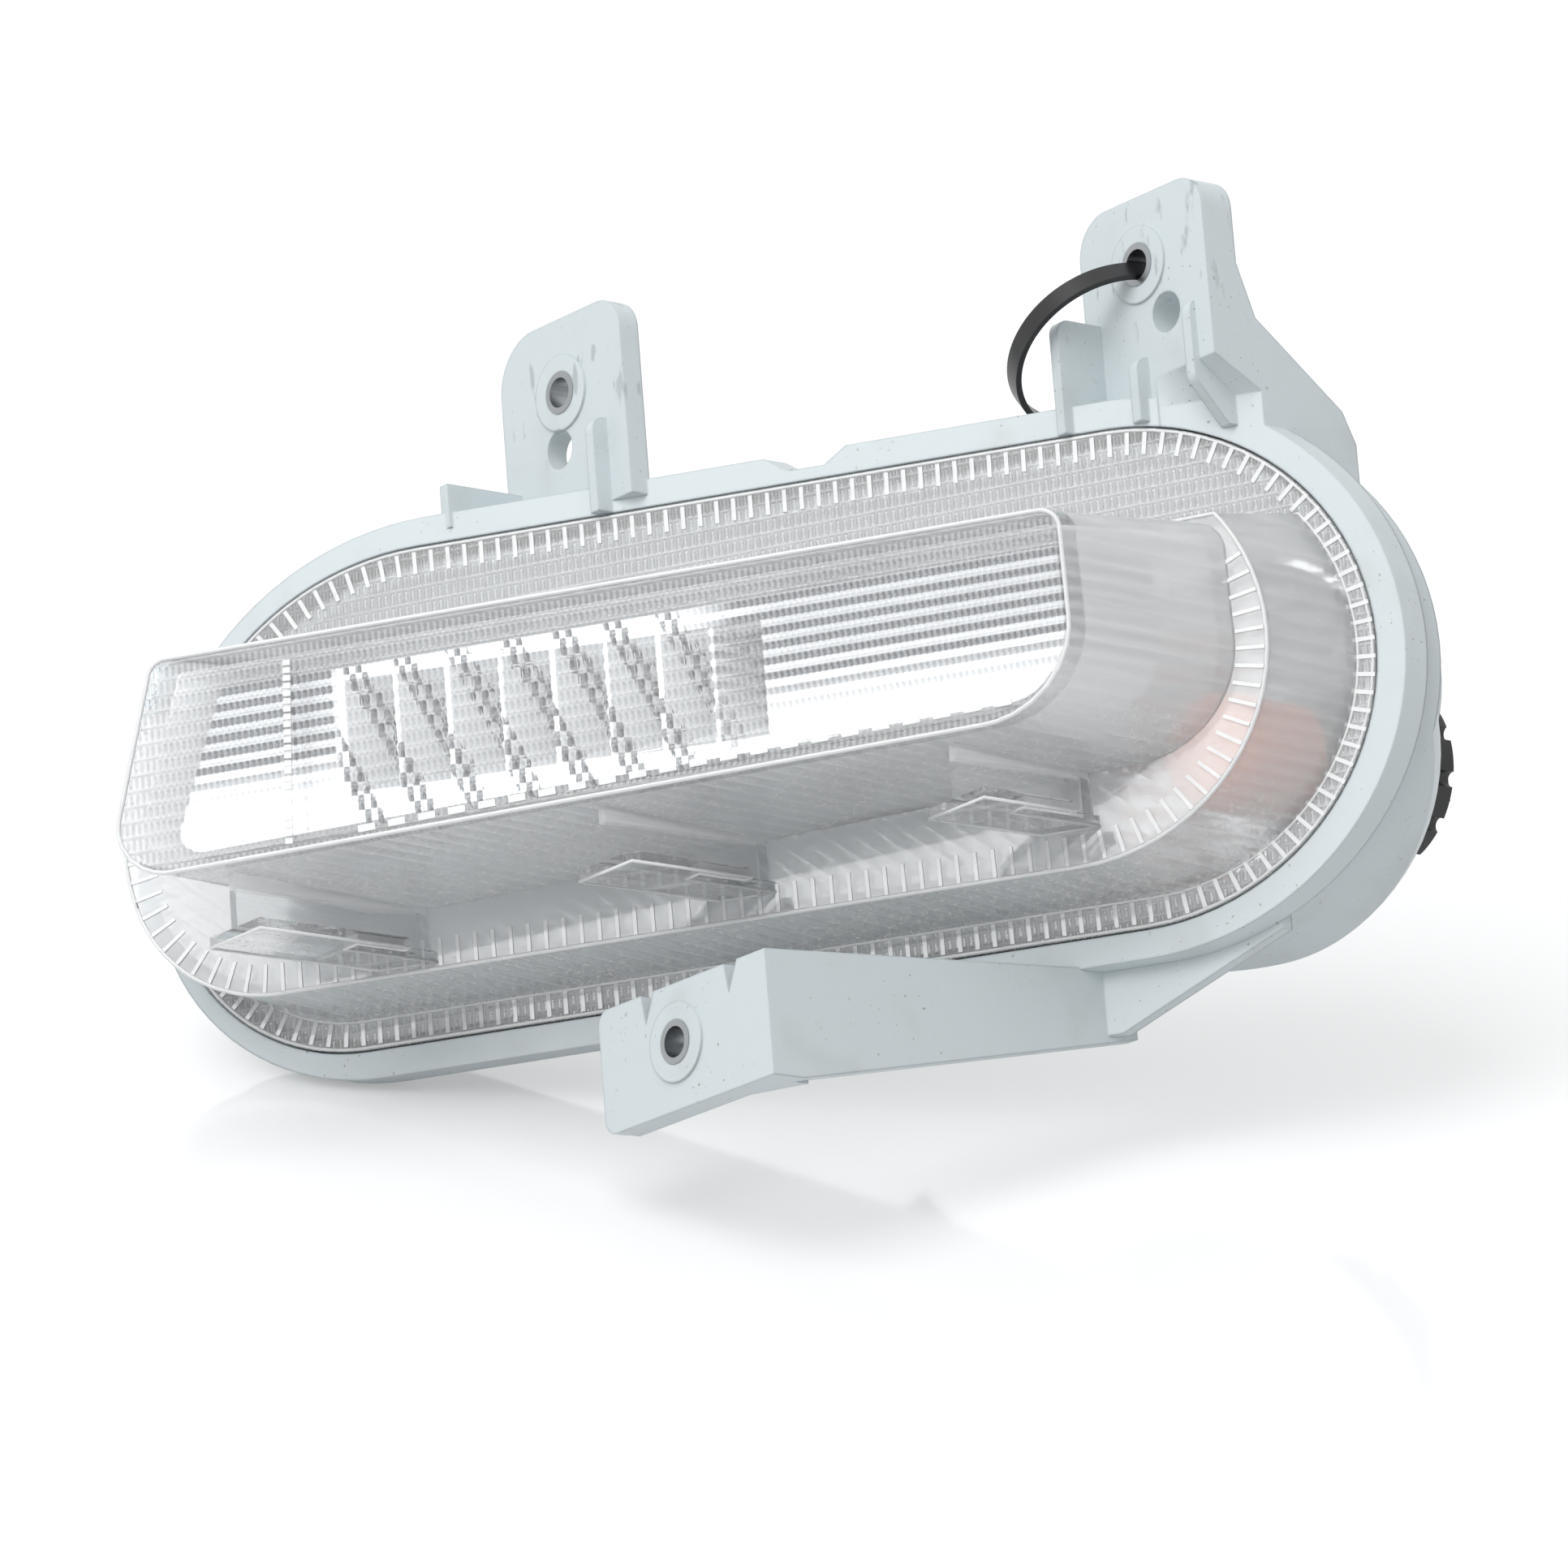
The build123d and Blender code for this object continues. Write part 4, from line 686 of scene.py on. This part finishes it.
@dataclass
class LensOptics:
    """Ribs and rounded edges moulded on the lens, in working millimetres.

    Attributes:
        sweep: Angle of the foot's plane, in degrees.
        top_mm: Top of the foot.
        low_mm: Bottom of the foot.
        right_mm: Centre of the right end along the foot.
        upper_mm: Centre of the upper left arc along the foot.
        lower_mm: Centre of the lower left arc along the foot.
        lower_radius_mm: Radius of the lower left arc.
        roof_tilt: Rise of the roof to the right.
        step_mm: Depth of the step in front of the foot.
        window_slope: Slope of the window back to the right.
        window_mm: Depth of the window in front of the working point.
        window_corners: Corners of the window from the lower left, across and up.
        window_radii: Radius at each corner of the window.
        tongues_mm: Places of the tongues under the window.
        tongue_drop_mm: Distance of the tongues below the window's lower edge.
        tongue_gap_mm: Distance of the tongues behind the window.
        tongue_half_mm: Half the width of a tongue.
    """

    sweep: float = 32.75
    top_mm: float = 63.5
    low_mm: float = -42.3
    right_mm: float = 74.1
    upper_mm: float = -76.0
    lower_mm: float = -94.0
    lower_radius_mm: float = 41.0
    roof_tilt: float = 0.0306
    step_mm: float = 22.0
    window_slope: float = 0.7594
    window_mm: float = 72.8
    window_corners: tuple[tuple[float, float], ...] = (
        (-67.7, -17.9),
        (93.8, -9.4),
        (93.2, 32.6),
        (-57.9, 27.4),
    )
    window_radii: tuple[float, ...] = (10.0, 20.0, 4.0, 4.0)
    tongues_mm: tuple[float, ...] = (-52.0, 10.0, 68.0)
    tongue_drop_mm: float = 14.0
    tongue_gap_mm: float = 8.0
    tongue_half_mm: float = 8.5

    def on_plane(self, points: Outline, ahead: float) -> list[Vector]:
        """Put an outline ahead of the foot's plane."""
        turn = math.radians(self.sweep)
        return [place(x * math.cos(turn), x * math.sin(turn) - ahead, z) for x, z in points]

    def on_window(self, points: Outline, ahead: float) -> list[Vector]:
        """Put points given across and up on the window, moved ahead of it."""
        return [place(x, self.window_slope * x - self.window_mm - ahead, z) for x, z in points]

    def outline(self, inset: float, shift: float) -> Outline:
        """Outline parallel to the foot's edge.

        Args:
            inset: Distance inside the edge.
            shift: Move of the right end's centre.

        Returns:
            Points along and up the plane, from the top right, clockwise.
        """
        height = self.top_mm - self.low_mm
        lean = self.upper_mm - self.lower_mm
        upper_radius = (height + lean**2 / (height - 2 * self.lower_radius_mm)) / 2
        upper = (self.upper_mm, self.top_mm - upper_radius)
        lower = (self.lower_mm, self.low_mm + self.lower_radius_mm)
        meet = math.degrees(math.atan2(lower[1] - upper[1], lower[0] - upper[0])) % 360
        middle = (self.top_mm + self.low_mm) / 2
        points = arc((self.right_mm + shift, middle), height / 2 - inset, 90, -90)
        points += arc(lower, self.lower_radius_mm - inset, 270, meet)
        points += arc(upper, upper_radius - inset, meet, 90)
        return points

    def window_edge(self) -> list[Vector]:
        """Edge of the window's front."""
        stretch = math.hypot(1, self.window_slope)
        corners = [(x * stretch, z) for x, z in self.window_corners]
        points = rounded(corners, self.window_radii)
        return self.on_window([(x / stretch, z) for x, z in points], 0.0)

    def tongue_edge(self, x: float) -> list[Vector]:
        """Lower edge of one slotted tongue.

        Args:
            x: Place of the tongue.

        Returns:
            Points of the edge in the shared frame.
        """
        (left, left_z), (right, right_z) = self.window_corners[:2]
        low = left_z + (right_z - left_z) * (x - left) / (right - left) - self.tongue_drop_mm
        front = self.window_slope * x - self.window_mm + self.tongue_gap_mm
        slope = math.tan(math.radians(self.sweep))
        back = slope * x - self.step_mm
        half = self.tongue_half_mm
        outline = [
            (-half, front),
            (half, front),
            (half, back - 10.7),
            (6.5, back - 10.7),
            (6.5, back - 22.7),
            (2.0, back - 22.7),
            (2.0, back + slope * 2.0),
            (-half, back - slope * half),
        ]
        return [place(x + across, y, low) for across, y in outline]

    def build_ribs(self) -> None:
        """Build the rows of ribs on the foot, on the step and beside the window."""
        material = RibFinish().build()
        turn = math.radians(self.sweep)
        facing = Vector((math.sin(turn), -math.cos(turn), 0))
        foot = self.on_plane(self.outline(3.4, 1.2), 0.1)
        RibRow("foot_ribs", foot, True, facing, 3.7, (0.9, 4.8, 0.5)).build(material)
        step = self.on_plane(below(self.outline(13.2, 4.1), 26.0, 0.0), self.step_mm + 0.1)
        RibRow("step_ribs", step, False, facing, 3.8, (0.8, 6.0, 0.5)).build(material)
        front = Vector((self.window_slope, -1, 0)).normalized()
        (left, low), (right, last) = self.window_corners[:2]
        dashes = [(left + 44.0, low + 4.2), (right - 12.0, last + 3.2)]
        RibRow("window_dashes", self.on_window(dashes, 0.1), False, front, 6.2, (3.6, 1.5, 0.4)).build(material)
        post = [(left + 31.0, low + 3.6), (left + 32.5, low + 41.0)]
        RibRow("window_post", self.on_window(post, 0.1), False, front, 1.6, (1.2, 1.6, 0.4)).build(material)

    def build_edges(self) -> None:
        """Build the rounded edges."""
        material = RibFinish("clear_polycarbonate_edges", 0.25).build()
        root = below(self.outline(6.2, 2.6), 35.7, self.roof_tilt)
        step = below(self.outline(9.8, 4.1), 33.0, self.roof_tilt)
        EdgeBead("window_edge", self.window_edge(), True, 0.5).build(material)
        EdgeBead("step_edge", self.on_plane(step, self.step_mm), True, 0.45).build(material)
        EdgeBead("root_edge", self.on_plane(root, 0.0), True, 0.35).build(material)
        EdgeBead("foot_edge", self.on_plane(self.outline(0.5, 0.0), 0.0), True, 0.35).build(material)
        for index, x in enumerate(self.tongues_mm, 1):
            EdgeBead(f"tongue_edge_{index}", self.tongue_edge(x), True, 0.35).build(material)

    def build(self) -> None:
        """Build the ribs and edges."""
        self.build_ribs()
        self.build_edges()


# Zinc-plated steel of the bolt sleeves and screws
STEEL = Finish("zinc_plated_steel", "A9ACAE", 0.32, 1.0, 0.3, 0.006)
# Moulded black plastic of the holder and socket
BLACK_PLASTIC = Finish("black_polyamide", "1B1C1E", 0.4, 0.0, 0.5, 0.01)
# Moulded pale grey plastic of the carrier
GREY_PLASTIC = Finish("grey_polyamide", "C6CACD", 0.4, 0.0, 0.5, 0.01)
# Soft black rubber of the gasket, breather cap and lead
RUBBER = Finish("black_rubber", "161617", 0.62, 0.0, 0.6, 0.012)
# Black nylon of the strap
NYLON = Finish("black_nylon", "1F1F21", 0.34, 0.0, 0.5, 0.008)
# Pale butyl bead between lens and housing
SEALANT = Finish("butyl_sealant", "B9BDBF", 0.7, 0.0, 0.8, 0.02)
# White solder mask of the LED board
BOARD = Finish("white_solder_mask", "E4E6E4", 0.35, 0.0, 0.5, 0.005)
# Yellow phosphor of the LEDs
PHOSPHOR = Finish("led_phosphor", "E8D98A", 0.4, 0.0, 0.3, 0.004)
# Extruded aluminium of the heat sink
ALUMINIUM = Finish("bare_aluminium", "BFC2C5", 0.38, 1.0, 0.4, 0.006)
# Brass of the contacts and bulb base
BRASS = Finish("tinned_brass", "B79B62", 0.3, 1.0, 0.3, 0.004)


@dataclass
class Dressing:
    """Assigns one material to each CAD node.

    Attributes:
        nodes: CAD nodes by name.
    """

    nodes: dict[str, bpy.types.Object]

    def assign(self, material: bpy.types.Material, names: Iterable[str]) -> None:
        """Put a material on nodes.

        Args:
            material: Material to assign.
            names: Names of the nodes.
        """
        for name in names:
            data = self.nodes[name].data
            data.materials.clear()
            data.materials.append(material)
            log.info("%s takes %s", name, material.name)

    def dress(self) -> None:
        """Dress every CAD node."""
        groups: dict[Any, tuple[str, ...]] = {
            HousingFinish(): ("housing",),
            LensFinish(): ("lens",),
            ReflectorFinish(): ("led_reflector",),
            BowlFinish(): ("turn_reflector",),
            AmberFinish(): ("amber_bulb",),
            STEEL: ("left_tab_sleeve", "right_tab_sleeve", "bracket_sleeve", "board_screws", "carrier_screws"),
            BLACK_PLASTIC: ("bulb_holder", "led_socket"),
            GREY_PLASTIC: ("led_carrier",),
            RUBBER: ("holder_gasket", "vent_cap", "led_lead"),
            NYLON: ("cable_tie",),
            SEALANT: ("lens_seal",),
            BOARD: ("led_board",),
            PHOSPHOR: ("led_chips",),
            ALUMINIUM: ("heat_sink",),
            BRASS: ("bulb_base", "holder_contacts", "socket_pins"),
        }
        for finish, names in groups.items():
            self.assign(finish.build(), names)


@dataclass
class Stage:
    """Floor, light and camera of the photograph.

    Attributes:
        right: Image's right in the shared frame.
        up: Image's up in the shared frame.
        back: Direction from the object to the camera.
        distance: Distance of the camera in metres.
        lens: Focal length in millimetres on a 36 mm sensor.
        floor_normal: Up direction of the floor under the lying lamp.
        floor_drop: Distance of the floor below the working point in metres.
    """

    right: Vector = field(default_factory=lambda: Vector((0.630, 0.773, -0.0755)))
    up: Vector = field(default_factory=lambda: Vector((0.2563, -0.1151, 0.9597)))
    back: Vector = field(default_factory=lambda: Vector((0.7331, -0.6239, -0.2706)))
    distance: float = 2.4
    lens: float = 268.3
    floor_normal: Vector = field(default_factory=lambda: Vector((0.49, -0.32, 0.81)).normalized())
    floor_drop: float = 0.0655

    def turned(self, direction: Vector, up: Vector, position: Vector) -> Matrix:
        """Place an object so that its own Z points along a direction.

        Args:
            direction: Direction of the object's Z.
            up: Direction that its Y leans towards.
            position: Place of the object.

        Returns:
            The object's matrix.
        """
        z_axis = direction.normalized()
        x_axis = up.cross(z_axis).normalized()
        y_axis = z_axis.cross(x_axis)
        turn = Matrix((x_axis, y_axis, z_axis)).transposed().to_4x4()
        return Matrix.Translation(position) @ turn

    def camera(self) -> None:
        """Make the camera at the photograph's viewpoint."""
        data = bpy.data.cameras.new("photo_camera")
        data.lens = self.lens
        data.sensor_width = 36.0
        data.clip_start = 0.05
        data.clip_end = 20.0
        camera = bpy.data.objects.new("photo_camera", data)
        bpy.context.scene.collection.objects.link(camera)
        camera.matrix_world = self.turned(self.back, self.up, ORIGIN + self.back * self.distance)
        bpy.context.scene.camera = camera

    def lamp(self, name: str, direction: Vector, distance: float, size: float, power: float) -> None:
        """Make one soft lamp that looks at the object.

        Args:
            name: Name of the lamp.
            direction: From the object towards the lamp.
            distance: Distance in metres.
            size: Width of the lamp in metres.
            power: Power in watts.
        """
        data = bpy.data.lights.new(name, "AREA")
        data.shape = "DISK"
        data.size = size
        data.energy = power
        light = bpy.data.objects.new(name, data)
        bpy.context.scene.collection.objects.link(light)
        light.matrix_world = self.turned(direction, self.right, ORIGIN + direction.normalized() * distance)

    def floor(self) -> None:
        """Make the white floor, which is seen only from above."""
        shader = Shader("white_floor")
        path = add(shader.tree, "ShaderNodeLightPath").outputs
        seen = shader.add("Math", {0: path["Is Camera Ray"], 1: path["Is Transmission Ray"]}, **MOST)
        seen = shader.add("Math", {0: seen, 1: path["Is Glossy Ray"]}, **MOST)
        seen = shader.add("Math", {0: seen, 1: 0.32}, **TIMES)
        material = shader.finish(
            Base_Color=srgb("DCDDDE"),
            Roughness=0.08,
            IOR=1.6,
            Emission_Color=(1, 1, 1, 1),
            Emission_Strength=seen,
        )
        surface = shader.output.inputs[0].links[0].from_socket
        side = shader.add("NewGeometry", {}, "Backfacing")
        both = shader.add("MixShader", {0: side, 1: surface, 2: shader.add("BsdfTransparent", {})})
        shader.tree.links.new(both, shader.output.inputs[0])
        mesh = bpy.data.meshes.new("floor")
        mesh.from_pydata([(-6, -6, 0), (6, -6, 0), (6, 6, 0), (-6, 6, 0)], [], [(0, 1, 2, 3)])
        mesh.materials.append(material)
        floor = bpy.data.objects.new("floor", mesh)
        bpy.context.scene.collection.objects.link(floor)
        normal = self.floor_normal
        floor.matrix_world = self.turned(normal, self.right, ORIGIN - normal * self.floor_drop)

    def world(self) -> None:
        """Make the white surroundings."""
        world = bpy.data.worlds.new("white_studio")
        world.use_nodes = True
        tree = world.node_tree
        tree.nodes.clear()
        path = add(tree, "ShaderNodeLightPath").outputs
        seen = add(tree, "ShaderNodeMath", {0: path["Is Camera Ray"], 1: path["Is Glossy Ray"]}, **MOST)
        seen = add(tree, "ShaderNodeMath", {0: seen.outputs[0], 1: path["Is Transmission Ray"]}, **MOST)
        strength = add(tree, "ShaderNodeMapRange", {"Value": seen.outputs[0], "To Min": 0.66, "To Max": 1.0})
        links = {"Color": (1, 1, 1, 1), "Strength": strength.outputs[0]}
        background = add(tree, "ShaderNodeBackground", links)
        output = add(tree, "ShaderNodeOutputWorld")
        tree.links.new(background.outputs[0], output.inputs[0])
        bpy.context.scene.world = world

    def build(self) -> None:
        """Build the whole stage."""
        self.world()
        self.floor()
        self.camera()
        self.lamp("key_lamp", self.floor_normal + 0.25 * self.back - 0.35 * self.right, 1.6, 1.2, 10.5)
        self.lamp("front_lamp", self.back - 0.8 * self.right + 0.6 * self.up, 2.0, 0.9, 7.5)
        bpy.context.scene.cycles.max_bounces = 7
        bpy.context.scene.view_settings.view_transform = "Standard"


def main() -> None:
    """Build the looks in order."""
    logging.basicConfig(level=logging.INFO)
    Dressing(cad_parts).dress()
    LensOptics().build()
    Stage().build()


if __name__ == "__main__":
    main()
